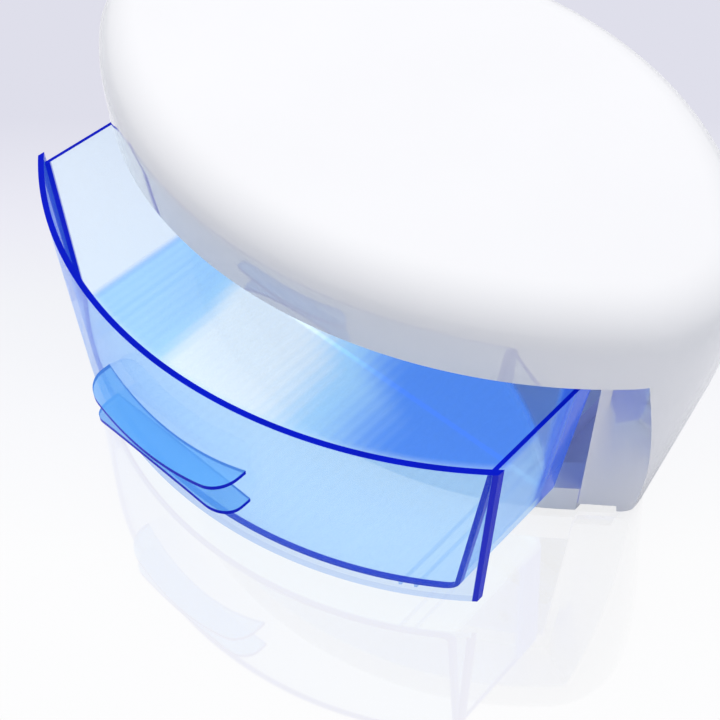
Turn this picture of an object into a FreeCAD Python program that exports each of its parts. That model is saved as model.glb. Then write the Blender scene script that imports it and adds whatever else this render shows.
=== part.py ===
import FreeCAD, Part
import math
import os

# uv sterilizer: an oval white housing with an overhanging front band, and a clear blue drawer
# that slides out under it. Millimetres, +X to the right, +Y to the back, +Z up from the table.
# Everything is modelled about the middle of the housing's plan, and save() then moves it so that
# the origin is below the middle of the whole object. The drawer stands open, as it rests.

V = FreeCAD.Vector

# Housing outline at the height of the brow: front arc, rear arc and two end arcs, all tangent
HALF_WIDTH = 183.5
FRONT_Y = -112.1
REAR_Y = 120.9
END_R = 56.24
END_Y = -4.5
END_X = HALF_WIDTH - END_R

# Housing side, seen in section
HOUSING_BOTTOM = 3.0
HOUSING_TOP = 180.0
TOP_EDGE_R = 22.0
FOOT_EDGE_R = 6.0
BAND_BULGE = 1.2
BLEND_HEIGHT = 59.0
SIDE_LEAN = math.radians(7.8)
WALL = 3.0
CORE_OFFSET = -36.0
BELOW = -10.0

# Recess under the brow, and the drawer opening in it
BROW_DROP = 43.0
BROW_Z = HOUSING_TOP - BROW_DROP
RIM_MARGIN = 33.5
RIM_HALF = HALF_WIDTH - RIM_MARGIN
RECESS_FOOT_Z = -5.0
CHEEK_RUN = 60.0
CHEEK_SLOPE_FOOT = 0.863
CHEEK_SLOPE_TOP = -0.60
OPENING_MARGIN = 4.0
OPENING_HALF = RIM_HALF - OPENING_MARGIN
OPENING_DROP = 14.0
OPENING_TOP = BROW_Z - OPENING_DROP

# Drawer front: a curved plate that leans a little, with two lips to pull it by
DRAWER_OPEN = 78.0
DRAWER_PULL_MORE = 19.0
PANEL_R = 232.8
PANEL_AXIS_Y = 147.9
PANEL_THICK = 3.0
PANEL_RISE = 2.0
PANEL_TOP = OPENING_TOP + PANEL_RISE
PANEL_BOTTOM = 17.9
PANEL_LAP = 2.5
PANEL_TAPER = 2.7
PANEL_HALF_TOP = OPENING_HALF + PANEL_LAP
PANEL_HALF_BOTTOM = PANEL_HALF_TOP - PANEL_TAPER
PANEL_LEAN = 3.4 / 107.1
SEAT_GAP = 0.3

# Pull lips: fins that follow the front's curve, the upper one sagging and the lower one arched
LIP_HALF = 46.8
LIP_CORNER_R = 13.0
LIP_REACH = 15.5
LIP_THICK = 2.6
UPPER_LIP_DROP = 49.5
UPPER_LIP_Z = PANEL_TOP - UPPER_LIP_DROP
UPPER_LIP_RISE = 6.7
LOWER_LIP_DROP = 55.6
LOWER_LIP_Z = PANEL_TOP - LOWER_LIP_DROP
LOWER_LIP_FALL = 12.4

# Drawer tray
TRAY_TOP_GAP = 1.2
TRAY_TOP = OPENING_TOP - TRAY_TOP_GAP
TRAY_UNDERSIDE = 23.3
TRAY_FLOOR = 2.1
TRAY_WALL = 2.0
TRAY_SIDE_GAP = 0.6
TRAY_HALF_TOP = OPENING_HALF - TRAY_SIDE_GAP
TRAY_DRAFT = 0.0832
TRAY_REAR_R = 198.5
TRAY_REAR_AXIS_Y = -90.0
TRAY_CORNER_R = 9.0
TRAY_FOOT_R = 7.0

# Runner ribs under the tray, the rails that they straddle, and the stops
RUNNER_MARGIN = 25.3
RUNNER_SPACING = 6.4
RUNNER_OUTER_X = TRAY_HALF_TOP - RUNNER_MARGIN
RUNNER_INNER_X = RUNNER_OUTER_X - RUNNER_SPACING
RUNNER_WIDTH = 1.2
RUNNER_DEPTH = 2.5
RAIL_CLEAR = 0.5
RAIL_FRONT_Y = -100.0
RAIL_REAR_Y = 40.0
STOP_X = 60.0
STOP_LENGTH = 4.0
STOP_WIDTH = 10.0
STOP_DEPTH = 7.0
TRIP_TAB_Y = 42.0

# Base
BASE_BOTTOM = 3.5
BASE_THICK = 3.0
BASE_GAP = 0.5
SILL_TOP = 23.0
SILL_DEPTH = 16.0
SILL_THICK = 2.5
FOOT_R = 8.0
FOOT_CHAMFER = 0.8
FOOT_STEM_R = 2.9
FOOT_STEM_HOLE_R = 3.0
FOOT_STEM_PAST = 1.5
FOOT_BARB_R = 3.7
FOOT_BARB_TIP_R = 2.3
FOOT_BARB_LENGTH = 2.2
FOOT_RAIL_MARGIN = 13.7
FOOT_FRONT_X = RUNNER_INNER_X - FOOT_RAIL_MARGIN
FOOT_FRONT_Y = -30.0
FOOT_REAR_X = 85.0
FOOT_REAR_Y = 52.0
FOOT_NAMES = ("foot_front_left", "foot_front_right", "foot_rear_left", "foot_rear_right")

# Screw lugs of the housing, and the screws
LUG_R = 5.5
LUG_TOP = 19.0
LUG_END = 3.0
LUG_WEB_REACH = 40.0
LUG_MARGIN = 30.5
LUG_SIDE_X = HALF_WIDTH - LUG_MARGIN
LUG_RIM_MARGIN = 15.0
LUG_REAR_X = 55.0
LUG_REAR_Y = 84.0
SCREW_R = 1.5
SCREW_HEAD_R = 3.2
SCREW_HEAD = 2.0
SCREW_PILOT_R = 1.55
SCREW_CLEAR_R = 1.75
SCREW_SLOT = 0.7
SCREW_SLOT_DEPTH = 0.8
SCREW_LENGTH = 12.0

# Lamp deck above the drawer
DECK_RISE = 6.0
DECK_Z = OPENING_TOP + DECK_RISE
DECK_THICK = 2.0
DECK_GAP = 1.0
DECK_BOSS_R = 4.5
DECK_BOSS_BORE = 12.0
DECK_BOSS_REAR_MARGIN = 83.5
DECK_BOSS_FRONT_X = 120.0
DECK_BOSS_RIM_MARGIN = 16.0
DECK_BOSS_REAR_X = HALF_WIDTH - DECK_BOSS_REAR_MARGIN
DECK_BOSS_REAR_Y = 70.0

# Lamp, its reflector and its holders
LAMP_Y = 15.0
LAMP_RISE = 17.0
LAMP_Z = DECK_Z + LAMP_RISE
LAMP_R = 8.0
LAMP_GLASS_R = 7.75
LAMP_MARGIN = 39.5
LAMP_LENGTH = 2 * (HALF_WIDTH - LAMP_MARGIN)
LAMP_CAP = 13.0
LAMP_CAP_CHAMFER = 0.8
LAMP_PIN_R = 1.18
LAMP_PIN_LENGTH = 7.1
LAMP_PIN_SPACING = 4.75
HOLDER_THICK = 11.0
HOLDER_WIDTH = 22.0
HOLDER_SOLE = 3.0
HOLDER_SOLE_REACH = 8.0
HOLDER_PIN_GAP = 0.3
REFLECTOR_SHEET = 0.8
REFLECTOR_TOP_HALF = 13.0
REFLECTOR_FOOT_HALF = 27.0
REFLECTOR_FLANGE = 9.0
REFLECTOR_DROP = 18.0
REFLECTOR_TOP_Z = HOUSING_TOP - REFLECTOR_DROP
REFLECTOR_MARGIN = 6.0
REFLECTOR_HALF = LAMP_LENGTH / 2 - REFLECTOR_MARGIN
WINDOW_MARGIN = 10.0
WINDOW_HALF = LAMP_LENGTH / 2 - WINDOW_MARGIN
WINDOW_HALF_DEPTH = 24.0

# Electrical parts on the deck
BALLAST_LENGTH = 112.0
BALLAST_DEPTH = 34.0
BALLAST_HEIGHT = 25.0
BALLAST_Y = 75.0
BALLAST_EAR = 12.0
BALLAST_SOLE = 1.5
BALLAST_EDGE_R = 3.0
STARTER_R = 10.6
STARTER_LENGTH = 34.0
STARTER_CHAMFER = 1.5
STARTER_X = -70.0
STARTER_Y = -46.0
STARTER_RISE = 13.0
STARTER_PIN_SPACING = 12.7
STARTER_PIN_R = 1.5
STARTER_PIN_HEAD_R = 2.5
STARTER_PIN_NECK = 2.5
STARTER_PIN_LENGTH = 4.0
SOCKET_GAP = 0.3
SOCKET_THICK = 9.0
SOCKET_HALF = 12.0
SOCKET_HEAD = 10.0
SOCKET_SOLE = 3.0
SOCKET_SOLE_REACH = 17.0
SOCKET_BORE = 5.0
TERMINAL_X = 52.0
TERMINAL_Y = -50.0
TERMINAL_POLES = 3
TERMINAL_PITCH = 10.0
TERMINAL_SOLE = 3.0
TERMINAL_SOLE_HALF = 8.5
TERMINAL_BARREL = 7.6
TERMINAL_BARREL_HALF = 8.0
TERMINAL_BARREL_TOP = 10.0
TERMINAL_WELL = 5.8
TERMINAL_WELL_TOP = 13.0
TERMINAL_WELL_R = 1.9
TERMINAL_WELL_SPACING = 8.0

# Flat on the rear for the mains inlet and the switch
PAD_HALF = 44.0
PAD_HALF_HEIGHT = 13.5
PAD_FACE_Y = 116.0
PAD_WALL = 3.5
FITTING_DROP = 27.5
FITTING_Z = HOUSING_TOP - FITTING_DROP
PAD_LOW = FITTING_Z - PAD_HALF_HEIGHT
PAD_HIGH = FITTING_Z + PAD_HALF_HEIGHT
FITTING_GAP = 0.2

# Mains inlet: a flange, a body and a socket in the form of an 8
INLET_X = -18.0
INLET_HALF_X = 12.0
INLET_HALF_Z = 7.5
INLET_DEPTH = 17.0
INLET_FLANGE_HALF_X = 16.0
INLET_FLANGE_HALF_Z = 9.5
INLET_FLANGE = 2.0
INLET_CORNER_R = 3.0
INLET_SOCKET_R = 4.6
INLET_SOCKET_WAIST = 3.4
INLET_SOCKET_DEPTH = 13.5
INLET_PIN_SPACING = 8.6
INLET_PIN_R = 1.18
INLET_PIN_SINK = 3.5
INLET_PIN_TAIL = 6.0

# Switch: a flange, a body with two contact tabs, and a rocker on two pivots
SWITCH_X = 24.0
SWITCH_HALF_X = 6.5
SWITCH_HALF_Z = 9.5
SWITCH_DEPTH = 15.0
SWITCH_FLANGE_HALF_X = 7.8
SWITCH_FLANGE_HALF_Z = 11.2
SWITCH_FLANGE = 1.8
SWITCH_CORNER_R = 1.5
SWITCH_WELL_DEPTH = 7.0
SWITCH_TAB_HALF = 2.4
SWITCH_TAB_THICK = 0.8
SWITCH_TAB_LENGTH = 7.0
SWITCH_TAB_SPACING = 10.0
ROCKER_SINK = 1.5
ROCKER_HALF_X = 5.2
ROCKER_HALF_Z = 8.0
ROCKER_STAND = 2.6
ROCKER_DIP = 1.1
ROCKER_EDGE = 2.4
ROCKER_FOOT_HALF = 3.0
ROCKER_FOOT_DEPTH = 2.2
ROCKER_PIVOT_R = 1.5
ROCKER_PIVOT_GAP = 0.08
ROCKER_PIVOT_REACH = 0.9
ROCKER_GAP = 0.35
ROCKER_END_GAP = 0.6
ROCKER_TILT = 9.0

# Interlock switch on the base
TRIP_LENGTH = 20.0
TRIP_HEIGHT = 10.0
TRIP_CASE = 5.4
TRIP_TRAVEL = 1.5
TRIP_STAND = 0.5
TRIP_DROP = 1.8
TRIP_POST_R = 2.5
TRIP_SLOT = 3.4
TRIP_SLOT_LOW = 1.2
TRIP_SLOT_HIGH = 4.2
TRIP_SLOT_DEPTH = 4.0
TRIP_PIN = 2.8
TRIP_PIN_INSIDE = 2.0
TRIP_PIN_GAP = 0.3
TRIP_TAB = 2.8
TRIP_TAB_THICK = 0.7
TRIP_TAB_LENGTH = 3.5
TRIP_TAB_SPACING = 7.0

LEAN_TAN = math.tan(SIDE_LEAN)
BAND_Z = HOUSING_TOP - TOP_EDGE_R
DRAWER_AXIS_Y = PANEL_AXIS_Y - DRAWER_OPEN
TRAY_AXIS_Y = TRAY_REAR_AXIS_Y - DRAWER_OPEN
DECK_TOP = DECK_Z + DECK_THICK
ROCKER_AXIS_Y = PAD_FACE_Y - ROCKER_SINK
TRIP_X = -RUNNER_INNER_X
TRIP_Y = TRIP_TAB_Y + SEAT_GAP + TRIP_TRAVEL + TRIP_STAND
TRIP_Z = TRAY_UNDERSIDE - STOP_DEPTH - TRIP_DROP
FAR = 400.0


def panel_outer(z):
    """Radius of the drawer front's outer face at a height."""
    return PANEL_R - (PANEL_TOP - z) * PANEL_LEAN


def rim_radius(z):
    """Radius of the rim that the closed drawer front seats against."""
    return panel_outer(z) - PANEL_THICK - SEAT_GAP


def rim_y(x, z):
    """How far forward the rim stands at a place across and a height."""
    return PANEL_AXIS_Y - math.sqrt(rim_radius(z) ** 2 - x ** 2)


def four_places(front_x, front_y, rear_x, rear_y):
    """A left and a right place in front, and a left and a right place behind."""
    return ((-front_x, front_y), (front_x, front_y), (-rear_x, rear_y), (rear_x, rear_y))


LUG_SIDE_Y = rim_y(RIM_HALF, BASE_BOTTOM) + LUG_RIM_MARGIN
LUG_PLACES = four_places(LUG_SIDE_X, LUG_SIDE_Y, LUG_REAR_X, LUG_REAR_Y)
DECK_BOSS_FRONT_Y = rim_y(DECK_BOSS_FRONT_X, DECK_Z) + DECK_BOSS_RIM_MARGIN
DECK_BOSS_PLACES = four_places(DECK_BOSS_FRONT_X, DECK_BOSS_FRONT_Y, DECK_BOSS_REAR_X, DECK_BOSS_REAR_Y)
FOOT_PLACES = four_places(FOOT_FRONT_X, FOOT_FRONT_Y, FOOT_REAR_X, FOOT_REAR_Y)
PULL_FRONT_Y = DRAWER_AXIS_Y - panel_outer(UPPER_LIP_Z) - LIP_REACH
ORIGIN_Y = (PULL_FRONT_Y + REAR_Y + BAND_BULGE) / 2


def save(name, shape):
    """Moves the finished piece into the part's frame and writes its STEP file."""
    placed = shape.copy()
    placed.translate(V(0, -ORIGIN_Y, 0))
    if not placed.isValid():
        raise ValueError(name + " is not a valid shape")
    placed.exportStep("parts/" + name + ".step")
    print(name, "solids", len(placed.Solids), "volume", round(placed.Volume, 1))


def box(x0, x1, y0, y1, z0, z1):
    """Box between two corners."""
    return Part.makeBox(x1 - x0, y1 - y0, z1 - z0, V(x0, y0, z0))


def rod(radius, start, end):
    """Round bar between two points."""
    run = end.sub(start)
    return Part.makeCylinder(radius, run.Length, start, run)


def disc(cx, cy, radius, z0, z1):
    """Upright cylinder."""
    return Part.makeCylinder(radius, z1 - z0, V(cx, cy, z0))


def frustum(cy, radius_at, z0, z1):
    """Upright cone stump on the middle plane, its radius given by a function of height."""
    return Part.makeCone(radius_at(z0), radius_at(z1), z1 - z0, V(0, cy, z0))


def prism_y(points, y0, y1):
    """Polygon given as (x, z), extruded along Y."""
    corners = [V(x, y0, z) for x, z in points]
    wire = Part.makePolygon(corners + corners[:1])
    return Part.Face(wire).extrude(V(0, y1 - y0, 0))


def prism_x(points, x0, x1):
    """Polygon given as (y, z), extruded along X."""
    corners = [V(x0, y, z) for y, z in points]
    wire = Part.makePolygon(corners + corners[:1])
    return Part.Face(wire).extrude(V(x1 - x0, 0, 0))


def long_radius(depth):
    """Radius of the long arc that is tangent to both end arcs and stands depth from their line."""
    return (END_X ** 2 + depth ** 2 - END_R ** 2) / (2 * (depth - END_R))


FRONT_R = long_radius(END_Y - FRONT_Y)
REAR_R = long_radius(REAR_Y - END_Y)


def outline_arcs():
    """The outline's four arcs: centre, radius, and their start and end angles."""
    front_c = FRONT_Y + FRONT_R
    rear_c = REAR_Y - REAR_R
    low = math.atan2(END_Y - front_c, END_X)
    high = math.atan2(END_Y - rear_c, END_X)
    return ((V(0, front_c, 0), FRONT_R, -math.pi - low, low),
            (V(END_X, END_Y, 0), END_R, low, high),
            (V(0, rear_c, 0), REAR_R, high, math.pi - high),
            (V(-END_X, END_Y, 0), END_R, math.pi - high, math.pi - low))


def on_arc(centre, radius, angle, z):
    """Point on an upright cylinder."""
    return V(centre.x + radius * math.cos(angle), centre.y + radius * math.sin(angle), z)


def outline_face(offset, z):
    """The housing's outline, moved outwards by offset, as a flat face."""
    edges = []
    for centre, radius, start, end in outline_arcs():
        r = radius + offset
        points = [on_arc(centre, r, a, z) for a in (start, (start + end) / 2, end)]
        edges.append(Part.Arc(*points).toShape())
    return Part.Face(Part.Wire(edges))


def outline_prism(offset, z0, z1):
    return outline_face(offset, z0).extrude(V(0, 0, z1 - z0))


def side_offset(z):
    """How far the side stands out from the outline at a height up to the top edge."""
    drop = BAND_Z - z
    if drop > BLEND_HEIGHT:
        return BAND_BULGE - BLEND_HEIGHT * math.tan(SIDE_LEAN / 2) - (drop - BLEND_HEIGHT) * LEAN_TAN
    blend_r = BLEND_HEIGHT / math.sin(SIDE_LEAN)
    return BAND_BULGE - blend_r + math.sqrt(blend_r ** 2 - drop ** 2)


def foot_centre():
    """Centre of the foot's rounding in the side's section: offset and height."""
    z = HOUSING_BOTTOM + FOOT_EDGE_R
    x = side_offset(z - FOOT_EDGE_R * math.sin(SIDE_LEAN)) - FOOT_EDGE_R * math.cos(SIDE_LEAN)
    return x, z


def side_chain(inset, rounded):
    """Edges of the side's section, from its foot to the top edge, moved inwards by inset.
    The hidden inner side has facets in place of its arcs."""
    blend_r = BLEND_HEIGHT / math.sin(SIDE_LEAN)
    blend_c = V(BAND_BULGE - blend_r, 0, BAND_Z)
    top_c = V(BAND_BULGE - TOP_EDGE_R, 0, BAND_Z)

    def turn(centre, radius, angle):
        return centre.add(V(radius * math.cos(angle), 0, radius * math.sin(angle)))

    foot_x, foot_z = foot_centre()
    foot_c = V(foot_x, 0, foot_z)
    arcs = ((foot_c, FOOT_EDGE_R - inset, -math.pi / 2, -SIDE_LEAN),
            (blend_c, blend_r - inset, -SIDE_LEAN, 0),
            (top_c, TOP_EDGE_R - inset, 0, math.pi / 2))
    edges = []
    for centre, radius, start, end in arcs:
        first = turn(centre, radius, start)
        middle = turn(centre, radius, (start + end) / 2)
        last = turn(centre, radius, end)
        if edges and edges[-1].Vertexes[-1].Point.distanceToPoint(first) > 1e-6:
            edges.append(Part.makeLine(edges[-1].Vertexes[-1].Point, first))
        if rounded:
            edges.append(Part.Arc(first, middle, last).toShape())
        else:
            edges.append(Part.makeLine(first, middle))
            edges.append(Part.makeLine(middle, last))
    return edges


def housing_block(inset):
    """Solid inside the housing's skin, moved inwards by inset: its section swept round the
    four arcs, and a core that fills the middle."""
    chain = side_chain(inset, inset == 0)
    bottom = chain[0].Vertexes[0].Point
    top = chain[-1].Vertexes[-1].Point
    inner_bottom = V(CORE_OFFSET, 0, bottom.z)
    inner_top = V(CORE_OFFSET, 0, top.z)
    closing = [Part.makeLine(top, inner_top), Part.makeLine(inner_top, inner_bottom),
               Part.makeLine(inner_bottom, bottom)]
    pieces = [outline_prism(CORE_OFFSET, bottom.z, top.z)]
    for centre, radius, start, end in outline_arcs():
        section = Part.Face(Part.Wire(chain + closing))
        section.translate(V(radius, 0, 0))
        section.rotate(V(0, 0, 0), V(0, 0, 1), math.degrees(start))
        section.translate(centre)
        pieces.append(section.revolve(centre, V(0, 0, 1), math.degrees(end - start)))
    return pieces[0].multiFuse(pieces[1:]).removeSplitter()


def recess(grow):
    """The space in front of the rim and under the brow, made larger by grow. Beside the rim
    its sides turn forward with height, which shapes the cheeks."""
    wires = []
    for z in (RECESS_FOOT_Z, BROW_Z + grow):
        slope = CHEEK_SLOPE_FOOT + (CHEEK_SLOPE_TOP - CHEEK_SLOPE_FOOT) * z / BROW_Z
        radius = rim_radius(z)
        near_y = PANEL_AXIS_Y - math.sqrt(radius ** 2 - RIM_HALF ** 2)
        far_x = RIM_HALF + CHEEK_RUN
        far_y = near_y + slope * CHEEK_RUN + grow * math.sqrt(1 + slope ** 2)
        inner = radius - grow
        near_y = PANEL_AXIS_Y - math.sqrt(inner ** 2 - RIM_HALF ** 2)
        arc = Part.Arc(V(-RIM_HALF, near_y, z), V(0, PANEL_AXIS_Y - inner, z), V(RIM_HALF, near_y, z))
        corners = [V(RIM_HALF, near_y, z), V(far_x, far_y, z), V(far_x, -FAR, z),
                   V(-far_x, -FAR, z), V(-far_x, far_y, z), V(-RIM_HALF, near_y, z)]
        lines = [Part.makeLine(a, b) for a, b in zip(corners, corners[1:])]
        wires.append(Part.Wire([arc.toShape()] + lines))
    return Part.makeLoft(wires, True, True)


def screw(place, head_z, up, length=SCREW_LENGTH):
    """Pan head screw: its head's seat at head_z, its shank going up or down."""
    x, y = place
    way = 1 if up else -1
    shank = rod(SCREW_R, V(x, y, head_z), V(x, y, head_z + way * length))
    head = rod(SCREW_HEAD_R, V(x, y, head_z), V(x, y, head_z - way * SCREW_HEAD))
    rim = [e for e in head.Edges if abs(e.BoundBox.ZMax - (head_z - way * SCREW_HEAD)) < 0.01
           and abs(e.BoundBox.ZMin - e.BoundBox.ZMax) < 0.01]
    head = head.makeChamfer(SCREW_HEAD * 0.4, rim)
    face_z = head_z - way * SCREW_HEAD
    slot = SCREW_SLOT / 2
    cut = box(x - SCREW_HEAD_R * 0.6, x + SCREW_HEAD_R * 0.6, y - slot, y + slot,
              face_z - SCREW_SLOT_DEPTH, face_z + SCREW_SLOT_DEPTH)
    cross = cut.fuse(cut.copy().rotate(V(x, y, 0), V(0, 0, 1), 90))
    return head.fuse(shank).cut(cross).removeSplitter()


def housing_lug(place, skin):
    """Screw lug low on the housing's inner wall, with the web that carries it."""
    x, y = place
    post = disc(x, y, LUG_R, BASE_BOTTOM + BASE_THICK, LUG_TOP)
    if abs(x) > END_X:
        centre = V(math.copysign(END_X, x), END_Y, 0)
    else:
        centre = V(0, REAR_Y - REAR_R, 0)
    way = V(x - centre.x, y - centre.y, 0)
    angle = math.degrees(math.atan2(way.y, way.x))
    web = box(0, LUG_WEB_REACH, -WALL / 2, WALL / 2, BASE_BOTTOM + BASE_THICK, LUG_TOP)
    web.rotate(V(0, 0, 0), V(0, 0, 1), angle)
    web.translate(V(x, y, 0))
    hole = disc(x, y, SCREW_PILOT_R, 0, LUG_TOP - LUG_END)
    return post.fuse(web.common(skin)).cut(hole)


def top_housing():
    """White moulded shell with the brow, the rim, the cheeks, the lugs and the deck's bosses."""
    skin = housing_block(0)
    floor_hole = outline_prism(foot_centre()[0], BELOW, HOUSING_BOTTOM + FOOT_EDGE_R)
    cavity = housing_block(WALL).fuse(floor_hole).cut(recess(WALL))
    pad = box(-PAD_HALF - WALL, PAD_HALF + WALL, PAD_FACE_Y - PAD_WALL, FAR,
              PAD_LOW - WALL, PAD_HIGH + WALL)
    opening = box(-OPENING_HALF, OPENING_HALF, -FAR, 0, BELOW, OPENING_TOP)
    shell = skin.cut(cavity.cut(pad)).cut(recess(0)).cut(opening)
    posts = []
    for x, y in DECK_BOSS_PLACES:
        post = disc(x, y, DECK_BOSS_R, DECK_TOP, HOUSING_TOP - WALL / 2)
        posts.append(post.cut(disc(x, y, SCREW_PILOT_R, DECK_Z, DECK_TOP + DECK_BOSS_BORE)))
    for place in LUG_PLACES:
        posts.append(housing_lug(place, skin))
    shell = shell.multiFuse(posts)
    pocket = box(-PAD_HALF, PAD_HALF, PAD_FACE_Y, FAR, PAD_LOW, PAD_HIGH)
    shell = shell.cut(pocket)
    for x, half_x, half_z in ((INLET_X, INLET_HALF_X, INLET_HALF_Z),
                              (SWITCH_X, SWITCH_HALF_X, SWITCH_HALF_Z)):
        half_x += FITTING_GAP
        half_z += FITTING_GAP
        shell = shell.cut(box(x - half_x, x + half_x, 0, FAR, FITTING_Z - half_z, FITTING_Z + half_z))
    return shell.removeSplitter()


def rail_slots():
    """Slots in the sill for the tray's runner ribs."""
    slots = []
    for side in (-1, 1):
        for x in (RUNNER_INNER_X, RUNNER_OUTER_X):
            half = RUNNER_WIDTH / 2 + RAIL_CLEAR
            slots.append(box(side * x - half, side * x + half, -FAR, 0,
                             TRAY_UNDERSIDE - RUNNER_DEPTH - RAIL_CLEAR, FAR))
    return slots


def base():
    """White moulded bottom: floor, front sill, rails, posts for the interlock switch."""
    top = BASE_BOTTOM + BASE_THICK
    edge = foot_centre()[0] - BASE_GAP
    floor = outline_prism(edge, BASE_BOTTOM, top).cut(recess(WALL + BASE_GAP))
    half = OPENING_HALF - BASE_GAP
    band = box(-half, half, -FAR, 0, BASE_BOTTOM, SILL_TOP)
    outer = frustum(PANEL_AXIS_Y, rim_radius, BASE_BOTTOM, SILL_TOP).common(band)
    back = frustum(PANEL_AXIS_Y, lambda z: rim_radius(z) - WALL, top, SILL_TOP - SILL_THICK)
    behind = disc(0, PANEL_AXIS_Y, rim_radius(SILL_TOP) - SILL_DEPTH, 0, FAR)
    sill = outer.cut(back).cut(behind)
    pieces = [sill]
    rail_half = (RUNNER_OUTER_X - RUNNER_INNER_X - RUNNER_WIDTH) / 2 - RAIL_CLEAR
    rail_x = (RUNNER_OUTER_X + RUNNER_INNER_X) / 2
    inside = disc(0, PANEL_AXIS_Y, rim_radius(SILL_TOP) - WALL / 2, 0, FAR)
    for side in (-1, 1):
        rail = box(side * rail_x - rail_half, side * rail_x + rail_half, RAIL_FRONT_Y, RAIL_REAR_Y,
                   BASE_BOTTOM + BASE_THICK / 2, SILL_TOP)
        pieces.append(rail.common(inside))
    for x in (TRIP_X - TRIP_LENGTH / 4, TRIP_X + TRIP_LENGTH / 4):
        pieces.append(disc(x, TRIP_Y + TRIP_HEIGHT / 2, TRIP_POST_R, BASE_BOTTOM + BASE_THICK / 2,
                           TRIP_Z))
    body = floor.multiFuse(pieces)
    for slot in rail_slots():
        body = body.cut(slot)
    for x, y in LUG_PLACES:
        body = body.cut(disc(x, y, SCREW_CLEAR_R, 0, top + 1))
    for x, y in FOOT_PLACES:
        body = body.cut(disc(x, y, FOOT_STEM_HOLE_R, 0, top + 1))
    return body.removeSplitter()


def foot(place):
    """Rubber foot with the stem that plugs into the base."""
    x, y = place
    pad = disc(x, y, FOOT_R, 0, BASE_BOTTOM)
    rim = [e for e in pad.Edges if e.BoundBox.ZMax < 0.01]
    pad = pad.makeChamfer(FOOT_CHAMFER, rim)
    barb_z = BASE_BOTTOM + BASE_THICK
    stem = disc(x, y, FOOT_STEM_R, BASE_BOTTOM, barb_z + FOOT_STEM_PAST)
    barb = Part.makeCone(FOOT_BARB_R, FOOT_BARB_TIP_R, FOOT_BARB_LENGTH, V(x, y, barb_z))
    return pad.fuse(stem).fuse(barb).removeSplitter()


def lip_column():
    """Plan of the pull lips, as a column: a band parallel to the front, with rounded corners."""
    reach = panel_outer(UPPER_LIP_Z) + LIP_REACH
    band = box(-LIP_HALF, LIP_HALF, -FAR, DRAWER_AXIS_Y - reach / 2, 0, HOUSING_TOP)
    column = disc(0, DRAWER_AXIS_Y, reach, 0, HOUSING_TOP).common(band)
    corners = [e for e in column.Edges if e.BoundBox.ZMax - e.BoundBox.ZMin > HOUSING_TOP / 2
               and e.BoundBox.YMax < DRAWER_AXIS_Y - reach * 0.8]
    return column.makeFillet(LIP_CORNER_R, corners)


def lip_fin(z_middle, rise, up):
    """One pull lip: a plate curved in elevation, up or down towards its ends."""
    radius = (LIP_HALF ** 2 + rise ** 2) / (2 * rise)
    way = 1 if up else -1
    centre = V(0, -FAR, z_middle + way * radius)
    outer_r = radius + LIP_THICK if up else radius
    slab = Part.makeCylinder(outer_r, FAR, centre, V(0, 1, 0))
    slab = slab.cut(Part.makeCylinder(outer_r - LIP_THICK, FAR, centre, V(0, 1, 0)))
    low, high = sorted((z_middle - way * rise, z_middle + way * rise * 2))
    slab = slab.common(box(-LIP_HALF - 1, LIP_HALF + 1, -FAR, 0, low, high))
    inside = frustum(DRAWER_AXIS_Y, lambda z: panel_outer(z) - PANEL_THICK / 2, PANEL_BOTTOM, PANEL_TOP)
    return slab.common(lip_column()).cut(inside)


def drawer_front():
    """Curved clear plate with its two pull lips."""
    outer = frustum(DRAWER_AXIS_Y, panel_outer, PANEL_BOTTOM, PANEL_TOP)
    inner = frustum(DRAWER_AXIS_Y, lambda z: panel_outer(z) - PANEL_THICK, PANEL_BOTTOM, PANEL_TOP)
    band = prism_y([(-PANEL_HALF_BOTTOM, PANEL_BOTTOM), (PANEL_HALF_BOTTOM, PANEL_BOTTOM),
                    (PANEL_HALF_TOP, PANEL_TOP), (-PANEL_HALF_TOP, PANEL_TOP)],
                   DRAWER_AXIS_Y - FAR, DRAWER_AXIS_Y)
    plate = outer.cut(inner).common(band)
    lips = [lip_fin(UPPER_LIP_Z, UPPER_LIP_RISE, True), lip_fin(LOWER_LIP_Z, LOWER_LIP_FALL, False)]
    return plate.multiFuse(lips).removeSplitter()


def tray_half(z):
    return TRAY_HALF_TOP - (TRAY_TOP - z) * TRAY_DRAFT


def tray_rear(z):
    return TRAY_REAR_R - (TRAY_TOP - z) * TRAY_DRAFT


def tray_block(inset, z0, z1, front_extra):
    """Tapered block of the tray's form, moved inwards by inset."""
    low = tray_half(z0) - inset
    high = tray_half(z1) - inset
    sides = prism_y([(-low, z0), (low, z0), (high, z1), (-high, z1)], -FAR, FAR / 2)
    rear = frustum(TRAY_AXIS_Y, lambda z: tray_rear(z) - inset, z0, z1)
    front = frustum(DRAWER_AXIS_Y, lambda z: panel_outer(z) - PANEL_THICK + front_extra, z0, z1)
    block = sides.common(rear).common(front)
    corner = max(TRAY_CORNER_R - inset, 1.0)
    edges = []
    for edge in block.Edges:
        bb = edge.BoundBox
        upright = bb.ZMax - bb.ZMin > (z1 - z0) * 0.9
        if upright and bb.YMin > TRAY_AXIS_Y + tray_rear(z0) / 3:
            edges.append(edge)
    block = block.makeFillet(corner, edges)
    foot_r = max(TRAY_FOOT_R - inset, 1.0)
    edges = []
    for edge in block.Edges:
        bb = edge.BoundBox
        low_edge = bb.ZMax < z0 + 0.01
        front_edge = bb.YMin < DRAWER_AXIS_Y - panel_outer(z0) + PANEL_THICK + 5 - front_extra
        wide = bb.XMax - bb.XMin > tray_half(z0)
        if low_edge and not (front_edge and wide):
            edges.append(edge)
    return block.makeFillet(foot_r, edges)


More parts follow.
